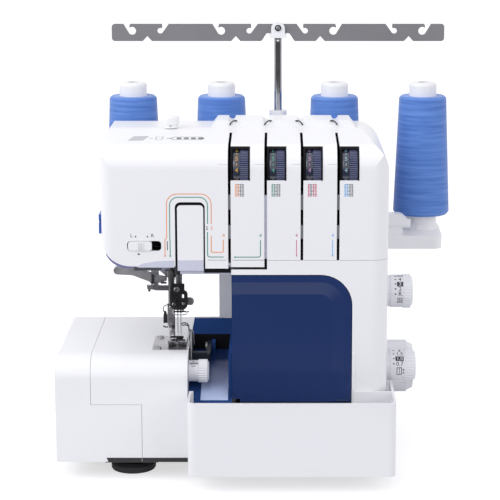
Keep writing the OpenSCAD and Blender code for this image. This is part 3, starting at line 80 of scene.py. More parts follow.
def new_finish(name, **values):
    """A finish with its node tree and the inputs of its shader, some of them set."""
    finish = bpy.data.materials.new(name)
    finish.use_nodes = True
    shader = finish.node_tree.nodes["Principled BSDF"].inputs
    for socket, value in values.items():
        shader[socket.replace("_", " ")].default_value = value
    return finish, finish.node_tree, shader


def sheet(name, finish, half, front, back, height):
    """A flat sheet that belongs to the studio, in metres."""
    mesh = bpy.data.meshes.new(name)
    mesh.from_pydata([(-half, front, height), (half, front, height), (half, back, height),
                      (-half, back, height)], [], [(0, 1, 2, 3)])
    mesh.materials.append(finish)
    made = bpy.data.objects.new(name, mesh)
    scene.collection.objects.link(made)
    return made


# The table scatters light evenly and glows a little, so that it stays white behind the shadow
table, tree = new_finish("white_table")[:2]
tree.nodes.remove(tree.nodes["Principled BSDF"])
seen = tree.nodes.new("ShaderNodeLightPath").outputs
table_glow = 0.62
level = maths(tree, "MULTIPLY", maths(tree, "MAXIMUM", seen["Is Camera Ray"], seen["Is Glossy Ray"]),
              table_glow)
top = node_of(tree, "ShaderNodeBsdfDiffuse", Color=(0.52, 0.52, 0.54, 1))
glow = node_of(tree, "ShaderNodeEmission", Strength=level)
both = tree.nodes.new("ShaderNodeAddShader")
tree.links.new(top.outputs[0], both.inputs[0])
tree.links.new(glow.outputs[0], both.inputs[1])
tree.links.new(both.outputs[0], tree.nodes["Material Output"].inputs["Surface"])
floor = sheet("table_top", table, 12, -8, 20, 0)

# A dark cloth lies on the table in front of the machine, where only polished things mirror it
cloth_finish = new_finish("dark_cloth", Base_Color=(0.03, 0.03, 0.035, 1), Roughness=1)[0]
cloth = sheet("dark_cloth", cloth_finish, 6, -8, -0.36, 0.002)
cloth.visible_camera = cloth.visible_diffuse = cloth.visible_shadow = False

# Everything looks out on plain white, but the light that falls on surfaces is a little dimmer
world = bpy.data.worlds.new("studio")
scene.world = world
world.use_nodes = True
tree = world.node_tree
soft = tree.nodes["Background"]
soft.inputs["Color"].default_value = (0.965, 0.965, 1.0, 1)
soft.inputs["Strength"].default_value = 0.88
white = node_of(tree, "ShaderNodeBackground", Color=(1, 1, 1, 1), Strength=1.0)
seen = tree.nodes.new("ShaderNodeLightPath").outputs
straight = maths(tree, "MAXIMUM", maths(tree, "MAXIMUM", seen["Is Camera Ray"], seen["Is Glossy Ray"]),
                 seen["Is Transmission Ray"])
mix = node_of(tree, "ShaderNodeMixShader", Fac=straight)
tree.links.new(soft.outputs[0], mix.inputs[1])
tree.links.new(white.outputs[0], mix.inputs[2])
tree.links.new(mix.outputs[0], tree.nodes["World Output"].inputs["Surface"])

for name, place, aim, size, power in (
    ("window_left", (-1.5, -1.7, 1.5), (-0.05, 0, 0.2), 1.4, 17.0),
    ("window_right", (1.7, -1.5, 1.1), (0.05, 0, 0.2), 1.4, 9.0),
    ("ceiling", (0.0, -0.3, 2.2), (0, 0, 0.2), 1.8, 2.0),
    ("side_left", (-1.9, -0.4, 1.35), (-0.1, 0, 0.1), 1.2, 11.0),
):
    lamp = bpy.data.lights.new(name, "AREA")
    lamp.energy, lamp.size = power, size
    holder = bpy.data.objects.new(name, lamp)
    scene.collection.objects.link(holder)
    holder.location = place
    holder.rotation_euler = (Vector(place) - Vector(aim)).to_track_quat("Z", "Y").to_euler()

# ---------------------------------------------------------------- feet and bottom plate
# Four soft rubber feet pressed into a dark moulded bottom plate, which is held up into the
# casing by cross-head screws. The rubber is matt and a little dusty, the plate is satin.


def ramp(tree, fac, begin, end, first, last):
    """Passes from one colour to another while fac goes from begin to end."""
    made = node_of(tree, "ShaderNodeValToRGB", Fac=fac)
    for stop, place, colour in zip(made.color_ramp.elements, (begin, end), (first, last)):
        stop.position = place
        stop.color = [*colour, 1]
    return made.outputs["Color"]


def surface(name, colour, roughness, metallic=0.0, grain=0.0007, depth=0.00002, patch=0.035,
            mottle=0.03, gloss=0.06, stretch=(1, 1, 1), coat=0.0, marks=0.0, shine=0.5):
    """A finish with broad changes of tone and gloss, fine grain, and scuffs in the given share."""
    finish, tree, shader = new_finish(name, Metallic=metallic, Specular_IOR_Level=shine, Coat_Weight=coat,
                                      Coat_Roughness=0.12)
    where = tree.nodes.new("ShaderNodeTexCoord").outputs["Object"]
    drawn = node_of(tree, "ShaderNodeMapping", Scale=stretch, Vector=where).outputs["Vector"]
    broad = node_of(tree, "ShaderNodeTexNoise", Scale=1 / patch, Detail=4, Vector=where).outputs["Fac"]
    fine = node_of(tree, "ShaderNodeTexNoise", Scale=1 / grain, Detail=2, Vector=drawn).outputs["Fac"]
    tone = ramp(tree, broad, 0.3, 0.7, [c * (1 - mottle) for c in colour],
                [min(1, c * (1 + mottle * 0.6)) for c in colour])
    if marks:
        scuff = node_of(tree, "ShaderNodeTexNoise", Scale=260, Detail=6, Distortion=1.5, Vector=drawn)
        share = ramp(tree, scuff.outputs["Fac"], 0.62, 0.78, (0, 0, 0), (marks, marks, marks))
        tone = node_of(tree, "ShaderNodeMix", data_type="RGBA", Factor=share, A=tone,
                       B=[min(1, c * 1.5 + 0.05) for c in colour] + [1]).outputs["Result"]
    rough = node_of(tree, "ShaderNodeMapRange", Value=broad, From_Min=0.3, From_Max=0.7,
                    To_Min=max(0.03, roughness - gloss), To_Max=min(1, roughness + gloss))
    bump = node_of(tree, "ShaderNodeBump", Strength=0.6, Distance=depth, Height=fine)
    tree.links.new(tone, shader["Base Color"])
    tree.links.new(rough.outputs["Result"], shader["Roughness"])
    tree.links.new(bump.outputs["Normal"], shader["Normal"])
    return finish


def dress(finish, *names):
    """Gives the solids of these nodes a finish."""
    for name in names:
        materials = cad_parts[name].data.materials
        materials.clear()
        materials.append(finish)


rubber = surface("black_rubber", (0.022, 0.022, 0.024), 0.75, grain=0.0009, depth=0.00006, mottle=0.25,
                 marks=0.3)
dress(rubber, "rubber_feet", "drive_belt")
dress(surface("dark_pan", (0.06, 0.06, 0.065), 0.5, depth=0.00004), "base_pan")


def new_group(name, sizes):
    """An empty Geometry Nodes tree, the sockets of its cloud and named sizes, and its way out."""
    group = bpy.data.node_groups.new(name, "GeometryNodeTree")
    group.interface.new_socket("Geometry", in_out="INPUT", socket_type="NodeSocketGeometry")
    group.interface.new_socket("Geometry", in_out="OUTPUT", socket_type="NodeSocketGeometry")
    for size, value in sizes.items():
        kind = "NodeSocketInt" if isinstance(value, int) else "NodeSocketFloat"
        group.interface.new_socket(size, in_out="INPUT", socket_type=kind).default_value = value
    return group, group.nodes.new("NodeGroupInput").outputs, group.nodes.new("NodeGroupOutput").inputs[0]


def settle(name, mesh, body, smooth=35):
    """Smooths a mesh over all edges flatter than the angle and lets it ride on its body."""
    mesh.shade_smooth()
    mesh.set_sharp_from_angle(angle=math.radians(smooth))
    made = bpy.data.objects.new(name, mesh)
    scene.collection.objects.link(made)
    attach(made, body)
    return made


def grow(name, group, body, sizes, points, smooth=35):
    """Runs a Geometry Nodes tree on a cloud of points in mm and keeps the result as a plain mesh."""
    seed = bpy.data.meshes.new(name + "_seed")
    seed.from_pydata([[c / 1000 for c in p] for p in points], [], [])
    holder = bpy.data.objects.new(name + "_seed", seed)
    scene.collection.objects.link(holder)
    modifier = holder.modifiers.new("grow", "NODES")
    modifier.node_group = group
    for item in group.interface.items_tree:
        if item.in_out == "INPUT" and item.name in sizes:
            modifier[item.identifier] = sizes[item.name]
    done = holder.evaluated_get(bpy.context.evaluated_depsgraph_get())
    mesh = bpy.data.meshes.new_from_object(done)
    mesh.name = name
    bpy.data.objects.remove(holder)
    return settle(name, mesh, body, smooth)


screw_steel = surface("plain_screw_steel", (0.42, 0.42, 0.43), 0.32, metallic=1, grain=0.0003, depth=0.00001)
dress(screw_steel, "screws")


def close_group(group, size, end, shape, finish, **more):
    """Sets a shape on each point of the cloud, gives it a finish and sends it out of the tree."""
    copies = node_of(group, "GeometryNodeInstanceOnPoints", Points=size["Geometry"], Instance=shape, **more)
    real = node_of(group, "GeometryNodeRealizeInstances", Geometry=copies.outputs["Instances"])
    paint = node_of(group, "GeometryNodeSetMaterial", Geometry=real.outputs["Geometry"], Material=finish)
    group.links.new(paint.outputs["Geometry"], end)
    return paint


# Screw head: a low disc with a cross recess, set on each point and facing down
screw_sizes = {"Head radius": 0.0035, "Head height": 0.0018}
screw_group, size, end = new_group("cross_head_screws", screw_sizes)
disc = node_of(screw_group, "GeometryNodeMeshCylinder", Vertices=24, Radius=size["Head radius"],
               Depth=size["Head height"])
cross = screw_group.nodes.new("GeometryNodeJoinGeometry")
for bar in ((0.0042, 0.0009, 0.003), (0.0009, 0.0042, 0.003)):
    arm = node_of(screw_group, "GeometryNodeMeshCube", Size=bar)
    drop = node_of(screw_group, "GeometryNodeTransform", Geometry=arm.outputs["Mesh"],
                   Translation=(0, 0, -0.0018))
    screw_group.links.new(drop.outputs["Geometry"], cross.inputs["Geometry"])
recess = node_of(screw_group, "GeometryNodeMeshBoolean", operation="DIFFERENCE", Mesh_1=disc.outputs["Mesh"],
                 Mesh_2=cross.outputs["Geometry"])
close_group(screw_group, size, end, recess.outputs["Mesh"], screw_steel)
grow("base_screws", screw_group, "machine", screw_sizes,
     points=[(x, y, 10.7) for x in (-88, -30, 50, 98) for y in (-46, 40) if not (x == 50 and y == -46)])

# ---------------------------------------------------------------- chassis and drive
# A cast frame painted light grey carries everything. A small universal motor with a steel shell
# turns the main shaft through a rubber belt and a moulded pulley.
dress(surface("painted_casting", (0.44, 0.45, 0.46), 0.55, grain=0.0022, depth=0.00012, mottle=0.08),
      "machine_frame")
dress(surface("polished_steel", (0.62, 0.62, 0.64), 0.2, metallic=1, grain=0.0005, depth=0.000006,
              mottle=0.06, stretch=(1, 1, 0.05), gloss=0.08), "main_shaft", "motor_pulley", "mast_rod")
dress(surface("dark_moulding", (0.06, 0.06, 0.065), 0.5, depth=0.00004, mottle=0.1), "shaft_pulley")
dress(surface("motor_shell", (0.14, 0.14, 0.15), 0.38, metallic=0.6, grain=0.0012, mottle=0.1), "motor")


def piece(name, body, finish, shapes, bevel=0.0):
    """One object from closed shapes whose points are in mm, riding on its body."""
    points, faces = [], []
    for shape in shapes:
        faces += [[i + len(points) for i in face] for face in shape[1]]
        points += [[c / 1000 for c in p] for p in shape[0]]
    mesh = bpy.data.meshes.new(name)
    mesh.from_pydata(points, [], faces)
    form = bmesh.new()
    form.from_mesh(mesh)
    bmesh.ops.remove_doubles(form, verts=form.verts, dist=1e-7)
    bmesh.ops.recalc_face_normals(form, faces=form.faces)
    form.to_mesh(mesh)
    form.free()
    mesh.materials.append(finish)
    made = settle(name, mesh, body)
    if bevel:
        edge = made.modifiers.new("edge", "BEVEL")
        edge.width = bevel / 1000
        edge.segments = 2
        edge.limit_method = "ANGLE"
        edge.angle_limit = math.radians(40)
    return made


def turned(profile, place, steps=32):
    """A lathe form: profile is (radius, height) pairs from one pole to the other."""
    points, rings = [], []
    for radius, height in profile:
        if radius < 1e-6:
            rings.append([len(points)])
            points.append(place(0, 0, height))
        else:
            rings.append(list(range(len(points), len(points) + steps)))
            points += [place(radius * math.cos(2 * math.pi * k / steps),
                             radius * math.sin(2 * math.pi * k / steps), height) for k in range(steps)]
    faces = []
    for low, high in zip(rings, rings[1:]):
        for k in range(steps):
            n = (k + 1) % steps
            quad = [low[k % len(low)], low[n % len(low)], high[n % len(high)], high[k % len(high)]]
            faces.append(list(dict.fromkeys(quad)))
    return points, [f for f in faces if len(f) > 2]


brass = surface("brush_cap_brass", (0.5, 0.38, 0.16), 0.35, metallic=1, mottle=0.1)
piece("motor_brush_caps", "machine", brass, [
    turned([(0, 0), (4.5, 0), (4.5, 2.2), (3.4, 2.8), (1, 2.8), (1, 2), (0, 2)],
           lambda a, b, c, s=s: (33 + a, 12 + b, 132 + s * (17.6 + c)), 20) for s in (-1, 1)])

# ---------------------------------------------------------------- casing
# Glossy white mouldings with a slightly cool tone: the column, the back, the arm cover, the bed,
# the free-arm piece and the lid. Their surface has the faint waviness of injection moulding.
white_gloss = surface("white_casing", (0.825, 0.827, 0.85), 0.34, grain=0.0009, depth=0.000012, mottle=0.006,
                      patch=0.09, gloss=0.02, coat=0.12)
dress(white_gloss, "column_housing", "rear_cover", "arm_cover", "top_guide_cover", "take_up_cover",
      "bed_cover", "free_arm_attachment")
# The arm's underside is white plastic; its lavender colour here is painted shade, like every piece in this
# finish
painted_shade_finish = surface("lavender_moulding", (0.56, 0.57, 0.68), 0.42, mottle=0.02)
dress(painted_shade_finish, "arm_underside")


def slab(points, low, high, place):
    """A closed plate: its outline is (a, b) pairs, and it reaches from low to high along c."""
    n = len(points)
    corners = [place(a, b, low) for a, b in points] + [place(a, b, high) for a, b in points]
    faces = [list(range(n))[::-1], list(range(n, 2 * n))]
    faces += [[i, (i + 1) % n, n + (i + 1) % n, n + i] for i in range(n)]
    return corners, faces


def bend(cx, cy, radius, begin, finish, steps=8):
    """Points of an arc from one direction to another, in degrees."""
    angles = [math.radians(begin + (finish - begin) * k / steps) for k in range(steps + 1)]
    return [(cx + radius * math.cos(a), cy + radius * math.sin(a)) for a in angles]


def rounded(left, low, right, high, radius, steps=5):
    """Outline of a rectangle with rounded corners."""
    outline = []
    for cx, cy, begin in ((right - radius, high - radius, 0), (left + radius, high - radius, 90),
                          (left + radius, low + radius, 180), (right - radius, low + radius, 270)):
        outline += bend(cx, cy, radius, begin, begin + 90, steps)
    return outline


def facing_front(y, x=0, z=0):
    """a runs along X, b up, and c stands out of a plane that faces the front."""
    return lambda a, b, c: (x + a, y - c, z + b)


def made_of(finish):
    """A shorter way to write pieces that share a finish."""
    return lambda name, body, shapes, bevel=0.0: piece(name, body, finish, shapes, bevel=bevel)


FRONT = -99.5
on_front = facing_front(FRONT)
white_part = made_of(white_gloss)

# Black sills under the bed casing and the free-arm piece, and the raised frame round the vents
sill_foot, sill_top = 16.7, 20.7
for name, body, left, right, chamfer in (("bed_sill", "machine", -106.5, -65.6, 0),
                                         ("attachment_sill", "attachment", -138.9, -107.1, 1.6)):
    piece(name, body, rubber, [slab(
        [(left + chamfer, sill_foot), (right, sill_foot), (right, sill_top), (left, sill_top)],
        -0.1, 0.35, on_front)], bevel=0.1)
white_part("back_trim", "machine", [
    slab(rounded(*edge, 1), 0.05, 0.9, lambda a, b, c: (a, 52.5 + c, b)) for edge in (
        (26, 92, 94, 94.4), (26, 168.6, 94, 171), (23.4, 92, 25.8, 171), (94.2, 92, 96.6, 171))], bevel=0.25)

# ---------------------------------------------------------------- needle plate and stitch forming
# Polished plate, needles and presser foot of bright steel and dark feed dogs; the clamp and the
# lower knife are blued, the upper knife's arm is painted. Small levers, springs and guides sit
# close round the needle bar.
blued = surface("blued_steel", (0.05, 0.05, 0.053), 0.34, metallic=0.7, grain=0.0005, mottle=0.25, marks=0.25)
bright = surface("bright_steel", (0.56, 0.56, 0.58), 0.22, metallic=1, grain=0.0004, depth=0.00001,
                 mottle=0.12, patch=0.012, gloss=0.1)
dress(surface("ground_plate", (0.52, 0.52, 0.54), 0.28, metallic=1, grain=0.0004, depth=0.000008,
              stretch=(0.05, 1, 1), mottle=0.08), "needle_plate")


def tint_along(finish, axis, begin, end, colour):
    """Lets a finish pass into another colour between two places along an axis, in metres."""
    tree = finish.node_tree
    base = tree.nodes["Principled BSDF"].inputs["Base Color"]
    where = tree.nodes.new("ShaderNodeTexCoord").outputs["Object"]
    parts = node_of(tree, "ShaderNodeSeparateXYZ", Vector=where)
    share = node_of(tree, "ShaderNodeMapRange", From_Min=begin, From_Max=end, Value=parts.outputs[axis])
    mix = node_of(tree, "ShaderNodeMix", data_type="RGBA", Factor=share.outputs["Result"],
                  A=base.links[0].from_socket, B=(*colour, 1))
    tree.links.new(mix.outputs["Result"], base)


knife_paint = surface("knife_paint", (0.34, 0.34, 0.35), 0.5, metallic=0.3, mottle=0.1)
tint_along(knife_paint, "X", -0.0629, -0.0626, (0.006, 0.009, 0.022))
dress(knife_paint, "upper_knife")
dress(blued, "lower_knife")
dress(surface("hard_dark_steel", (0.2, 0.2, 0.21), 0.35, metallic=1, mottle=0.15), "feed_dogs")
dress(bright, "presser_foot", "needles", "upper_looper", "lower_looper")
dress(surface("bar_steel", (0.2, 0.2, 0.21), 0.3, metallic=1, grain=0.0004, depth=0.00001, mottle=0.15,
              patch=0.012, gloss=0.08), "presser_bar", "needle_bar")


def rod(path, radius, sides=10):
    """A round wire with closed ends along a path."""
    path, points, rings, side = [Vector(p) for p in path], [], [], None
    for before, spot, after in zip(path[:1] + path, path, path[1:] + path[-1:]):
        run = (after - before).normalized()
        if side is None:
            side = Vector((0, 0, 1) if abs(run.z) < 0.9 else (1, 0, 0))
        side = (side - side.dot(run) * run).normalized()
        up = run.cross(side)
        rings.append(range(len(points), len(points) + sides))
        for k in range(sides):
            angle = 2 * math.pi * k / sides
            points.append(spot + radius * (math.cos(angle) * side + math.sin(angle) * up))
    faces = [rings[0][::-1], rings[-1]]
    for low, high in zip(rings, rings[1:]):
        faces += [[low[k], low[(k + 1) % sides], high[(k + 1) % sides], high[k]] for k in range(sides)]
    return points, faces


def upright(x=0, y=0):
    """a and b lie flat and c stands up, round an axis at x and y."""
    return lambda a, b, c: (x + a, y + b, c)


def oblong(left, low, right, high):
    """Outline of a plain rectangle."""
    return [(left, low), (right, low), (right, high), (left, high)]


def block(low, high):
    """A plain bar between two corners, which gets its bevel from the piece."""
    return slab(oblong(*low[:2], *high[:2]), low[2], high[2], upright())


def screw_face(x, y, z, radius, turn):
    """A slotted cheese head that faces the front."""
    head = turned([(0, 0), (radius, 0), (radius, 0.9), (radius - 0.3, 1.2), (0, 1.2)],
                  facing_front(y, x, z), 20)
    c, s = math.cos(math.radians(turn)), math.sin(math.radians(turn))
    bar = slab(oblong(-radius * 0.8, -0.3, radius * 0.8, 0.3), 1.15, 1.32,
               lambda a, b, h: (x + a * c - b * s, y - h, z + a * s + b * c))
    return head, bar


def cut(piece_made, shapes):
    """Takes closed shapes out of a finished piece."""
    tool = piece("cutter", "machine", blued, shapes)
    knife = piece_made.modifiers.new("cut", "BOOLEAN")
    knife.object = tool
    done = piece_made.evaluated_get(bpy.context.evaluated_depsgraph_get())
    mesh = bpy.data.meshes.new_from_object(done)
    piece_made.modifiers.clear()
    piece_made.data = mesh
    mesh.shade_smooth()
    mesh.set_sharp_from_angle(angle=math.radians(25))
    bpy.data.objects.remove(tool)


def pin(x, z, radius, low, high):
    """A plain round head or sinking on the face of the clamp."""
    return turned([(0, low), (radius, low), (radius, high - 0.2), (radius - 0.2, high), (0, high)],
                  facing_front(-48.3, x, z), 20)


blued_part = made_of(blued)
bright_part = made_of(bright)

# The clamp: a front plate with a sight hole and grub screws, and a block that grips the bar
clamp = blued_part("needle_clamp_plate", "needle", [
    slab([(-81.1, 169.6), (-82, 164), (-83.2, 162.6), (-83.2, 150.6), (-82.6, 148), (-80.4, 145.8),
          (-78.6, 145.2), (-71.8, 145.2), (-69.8, 145.9), (-67.6, 148.2), (-67, 150.4), (-67, 160.6),
          (-67.9, 162.2), (-69.8, 163.4), (-69.9, 169.6)], 0, 2.4, facing_front(-45.9))])
cut(clamp, [
    block((-72.5, -50, 156.1), (-70.4, -44, 159.8)), block((-81.1, -50, 156.5), (-79.9, -44, 158.9)),
    pin(-76.0, 158.3, 1.6, -0.9, 2), pin(-76.0, 153.6, 2.0, -1.6, 2), pin(-75.2, 149.6, 1.8, -1.6, 2)])
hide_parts("needle_clamp")
blued_part("needle_clamp_block", "needle", [
    block((-79.0, -45.9, 144.6), (-73.2, -37.1, 158)), rod([(-80.4, -47.2, 143.4), (-66, -47.2, 143.4)], 0.7),
    rod([(-71.4, -47.2, 143), (-71.4, -47.2, 145.6)], 0.7)], bevel=0.4)
blued_part("needle_bush", "machine", [turned(
    [(3.15, 177.4), (4.1, 177.4), (4.2, 178), (4.2, 190.5), (3.15, 190.5), (3.15, 177.4)],
    upright(-75.2, -41.5), 28)])
heads, slots = zip(*(screw_face(x, -48.3, z, radius, turn) for x, z, radius, turn in (
    (-76.9, 164.6, 2.5, 25), (-79.8, 150.6, 1.4, 50), (-70.9, 151.2, 1.4, -30))))
bright_part("clamp_screws", "needle", heads)
blued_part("clamp_screw_slots", "needle", slots)
bright_part("clamp_thumb_lever", "needle", [slab(
    [(-68, 149.4), (-65, 148.8), (-62.6, 149.6), (-61.4, 151.4), (-61.3, 153.6), (-62.4, 155.4),
     (-64.4, 156.3), (-68, 156.2)], 0, 1.6, facing_front(-43.9))], bevel=0.4)
bright_part("needle_wire_guide", "needle", [rod(
    [(-79.6, -47.4, 147), (-80.6, -48.4, 144), (-80.2, -49, 141.6), (-77, -49.4, 140.8), (-72, -49.4, 140.8),
     (-68.6, -49, 141.2), (-67.6, -48.4, 142.6), (-68, -47.6, 144.2)], 0.5)])
bright_part("shank_block", "presser", [
    slab([(-86.2, 128.6), (-80.3, 128.6), (-80.3, 144), (-81.4, 148.6), (-86.2, 149.4)], 0, 1.3,
         facing_front(-38.6)), screw_face(-83.2, -40.0, 145.4, 1.6, 70)[0]], bevel=0.2)
blued_part("shank_spring", "presser", [
    block((-80.3, -39.6, 124.8), (-79.5, -38.4, 139.8)),
    slab([(-90, 130.6), (-86.3, 130.6), (-86.3, 137.6), (-87.6, 141.8), (-89.2, 141.8), (-90, 138)], 0, 2.2,
         facing_front(-37.2)),
    rod([(-88.6, -38.6, 139), (-90.2, -38.8, 143), (-89.4, -38.6, 146.4), (-86, -38.4, 148)], 0.45),
    rod([(-90.4, -37.6, 127.4), (-88.8, -37.6, 126.4), (-85.8, -37.4, 126.4)], 0.6)], bevel=0.15)
blued_part("foot_details", "presser", [
    slab([(-83.6, 118.9), (-70.6, 118.9), (-71.6, 120.6), (-82.8, 120.6)], 0, 1.2, facing_front(-47.4)),
    block((-82, -53.1, 116.6), (-69.4, -51.5, 118.6))], bevel=0.15)
blued_part("looper_threader", "machine", [
    rod([(-67, -36, 127), (-70, -38, 128.6), (-72.6, -38.6, 128.2), (-73.4, -38.4, 129.6),
         (-71.2, -37.4, 130.4), (-68.4, -36, 129.4), (-67, -35, 127), (-66.6, -33, 117),
         (-66.6, -33, 113.2)], 0.55)])

# ---------------------------------------------------------------- presser lifter and lamp
# Under the head: the lifter's retaining clip, guide bar and gusset, a dark lamp box with a pale
# lens, and the violet lip that runs round the head's lower left-hand corner.
dress(surface("lifter_steel", (0.4, 0.4, 0.42), 0.34, metallic=0.6, grain=0.0006, mottle=0.12, patch=0.01),
      "presser_lifter")
dress(surface("lamp_box", (0.11, 0.11, 0.13), 0.4, mottle=0.08), "work_lamp")
piece("lamp_lens", "machine", surface("lamp_lens", (0.78, 0.78, 0.74), 0.2, coat=0.4), [slab(
    rounded(-108.8, -87.3, -91.2, -61.7, 2), 192, 193, upright())], bevel=0.2)
blued_part("lifter_clip", "machine", [
    block((-100.6, -39.3, 163.6), (-98, -37.3, 176.2)), block((-103.6, -41.2, 160.8), (-101.4, -39, 163.2)),
    block((-92, -41.3, 168.2), (-86.6, -39.7, 169.8))], bevel=0.2)
bright_part("lifter_guide_bar", "machine", [
    slab([(-104.6, 163.2), (-98.4, 162.4), (-96.4, 161.8), (-84.6, 161.8), (-84.6, 166.6), (-93, 166.6),
          (-94.4, 168.4), (-98.4, 168.4), (-99.6, 167), (-104.6, 167.2)], 0, 1.8, facing_front(-39.6))],
    bevel=0.25)
# Its lavender colour is painted shade under the head
piece("lifter_gusset", "machine", painted_shade_finish, [
    slab([(-94.4, 189), (-79.6, 189), (-79.6, 169), (-81.6, 167), (-94.4, 178)], 0, 1.4,
         facing_front(-26.4))], bevel=0.2)


def crescent(inner, outer, begin, finish, steps=20):
    """A sickle round the head's lower left-hand corner, thickest in the middle."""
    near, far = [], []
    for k in range(steps + 1):
        angle = math.radians(begin + (finish - begin) * k / steps)
        swell = inner + 0.15 + (outer - inner) * math.sin(math.pi * k / steps) ** 0.7
        for edge, radius in ((near, inner), (far, swell)):
            edge.append((-114.2 + radius * math.cos(angle), 223.4 + radius * math.sin(angle)))
    return near + far[::-1]


piece("head_lip", "machine", surface("violet_lip", (0.2, 0.2, 0.4), 0.25, coat=0.4), [
    slab(crescent(26.1, 28.2, 214, 282), -22, -1.2, on_front)], bevel=0.2)
# Turned-under lower lips of the head and of the middle panel, covered in lavender as painted shade on the
# white moulding
painted_shade_part = made_of(painted_shade_finish)
painted_shade_part("lower_lips", "machine", [
    slab(edge, -0.1, 0.25, on_front) for edge in (
        [(-75.7, 202.8), (-75.7, 196.4), (-107, 196.4), (-109.4, 197.2), (-103, 200.2), (-92, 202)],
        [(-72.75, 203), (-72.75, 193.45), (-49.95, 193.45), (-49.95, 203)])], bevel=0.1)

# ---------------------------------------------------------------- thread slots and tension dials
# Each thread drops into a slot lined with black, passes a tension dial with a printed number band
# and runs down past grey guide plates. Black rims frame the windows of the dials.
SLOTS = [-27 + 31.8 * k for k in range(4)]
ink = {name: surface("ink_" + name, colour, 0.5, mottle=0.12, patch=0.002, depth=0.000008)
       for name, colour in (
           ("dark", (0.035, 0.035, 0.05)), ("mid", (0.14, 0.14, 0.16)), ("grey", (0.42, 0.42, 0.46)),
           ("orange", (0.78, 0.3, 0.1)), ("green", (0.02, 0.25, 0.17)), ("pink", (0.6, 0.06, 0.16)),
           ("blue", (0.12, 0.42, 0.8)), ("yellow", (0.62, 0.35, 0.06)), ("mint", (0.08, 0.34, 0.27)),
           ("mauve", (0.42, 0.23, 0.46)), ("ice", (0.28, 0.46, 0.6)))}
black_moulding = surface("black_moulding", (0.006, 0.006, 0.008), 0.5, mottle=0.3, depth=0.00003, shine=0.12)
band_moulding = surface("dial_band", (0.022, 0.026, 0.05), 0.24, mottle=0.2, patch=0.006, coat=0.6, shine=0.7)
rib_painted_highlight = surface("dial_rib_crest", (0.15, 0.16, 0.29), 0.35, mottle=0.15, patch=0.004)
guide_plate = surface("grey_guide", (0.3, 0.3, 0.32), 0.4, metallic=0.5, mottle=0.15)
dress(black_moulding, "tension_unit", "power_switch")
dress(surface("dial_moulding", (0.016, 0.024, 0.07), 0.34, mottle=0.15, coat=0.3),
      *(f"tension_dial_{n}" for n in (1, 2, 3, 4)))

# The arm's front ends at EDGE_Z and rounds over through EDGE_TURN, and its top slopes up from there
EDGE_Z, EDGE_R, EDGE_TURN = 284.17, 20, math.radians(86.8)
TOP_Y, TOP_Z, TOP_SLOPE = -80.62, 304.14, math.radians(3.2)


def arm_skin(a, b, c):
    """a runs along X and b up the arm's front, round its top edge and back over the top."""
    if b <= EDGE_Z:
        return a, FRONT - c, b
    angle = (b - EDGE_Z) / EDGE_R
    if angle <= EDGE_TURN:
        return a, FRONT + EDGE_R - (EDGE_R + c) * math.cos(angle), EDGE_Z + (EDGE_R + c) * math.sin(angle)
    run = b - EDGE_Z - EDGE_R * EDGE_TURN
    return (a, TOP_Y + run * math.cos(TOP_SLOPE) - c * math.sin(TOP_SLOPE),
            TOP_Z + run * math.sin(TOP_SLOPE) + c * math.cos(TOP_SLOPE))


def strip(stations):
    """A closed strip through stations of four points: near low, near high, far low, far high."""
    points = [p for station in stations for p in station]
    faces = [[0, 1, 3, 2], [len(points) - 4, len(points) - 2, len(points) - 1, len(points) - 3]]
    for i in range(0, len(points) - 4, 4):
        n = i + 4
        faces += [[i, i + 2, n + 2, n], [i + 1, n + 1, n + 3, i + 3], [i, n, n + 1, i + 1],
                  [i + 2, i + 3, n + 3, n + 2]]
    return points, faces


def lining(across, up, low, high, place, steps=1):
    """A thin closed strip that follows a surface, from low to high above it."""
    rows = [up[0] + (up[1] - up[0]) * k / steps for k in range(steps + 1)]
    return strip([[place(a, b, c) for a in across for c in (low, high)] for b in rows])


def line(path, width, place=arm_skin, high=0.08):
    """A printed line of even width through (a, b) points, in steps under 1.4 mm that hug a drum."""
    bare, path = path, path[:1]
    for p, q in zip(bare, bare[1:]):
        n = math.ceil(math.dist(p, q) / 1.4)
        path += [(p[0] + (q[0] - p[0]) * k / n, p[1] + (q[1] - p[1]) * k / n) for k in range(1, n + 1)]
    stations = []
    for i, p in enumerate(path):
        before, after = path[max(i - 1, 0)], path[min(i + 1, len(path) - 1)]
        ways = [(q[0] - o[0], q[1] - o[1]) for o, q in ((before, p), (p, after)) if q != o]
        norms = [(-w[1] / math.hypot(*w), w[0] / math.hypot(*w)) for w in ways]
        nx, ny = (sum(n[k] for n in norms) / len(norms) for k in (0, 1))
        half = width / 2 / max(0.3, nx * nx + ny * ny)
        stations.append([place(p[0] + side * nx * half, p[1] + side * ny * half, c)
                         for side in (1, -1) for c in (-0.02, high)])
    return strip(stations)


def figures(text, height, across, up, place=arm_skin):
    """Raised print of numerals or letters, centred on (across, up) and cut so that it can bend."""
    curve = bpy.data.curves.new("figures", "FONT")
    curve.body, curve.extrude, curve.resolution_u = text, 0.05, 2
    curve.size = 1.38 * height  # type size at which numerals come out as high as asked
    curve.align_x, curve.align_y = "CENTER", "CENTER"
    holder = bpy.data.objects.new("figures", curve)
    mesh = bpy.data.meshes.new_from_object(holder)
    form = bmesh.new()
    form.from_mesh(mesh)
    for k in range(-7, 8):
        bmesh.ops.bisect_plane(form, geom=form.verts[:] + form.edges[:] + form.faces[:],
                               plane_co=(0, height * k / 10, 0), plane_no=(0, 1, 0))
    form.to_mesh(mesh)
    form.free()
    points = [place(across + v.co.x, up + v.co.y, v.co.z + 0.03) for v in mesh.vertices]
    faces = [list(face.vertices) for face in mesh.polygons]
    bpy.data.objects.remove(holder)
    bpy.data.curves.remove(curve)
    bpy.data.meshes.remove(mesh)
    return points, faces


def round_x(radius, y, z, x=0):
    """a runs along X and b round a drum whose axis is parallel to X, from its front upwards."""
    return lambda a, b, c: (x + a, y - (radius + c) * math.cos(b / radius),
                            z + (radius + c) * math.sin(b / radius))


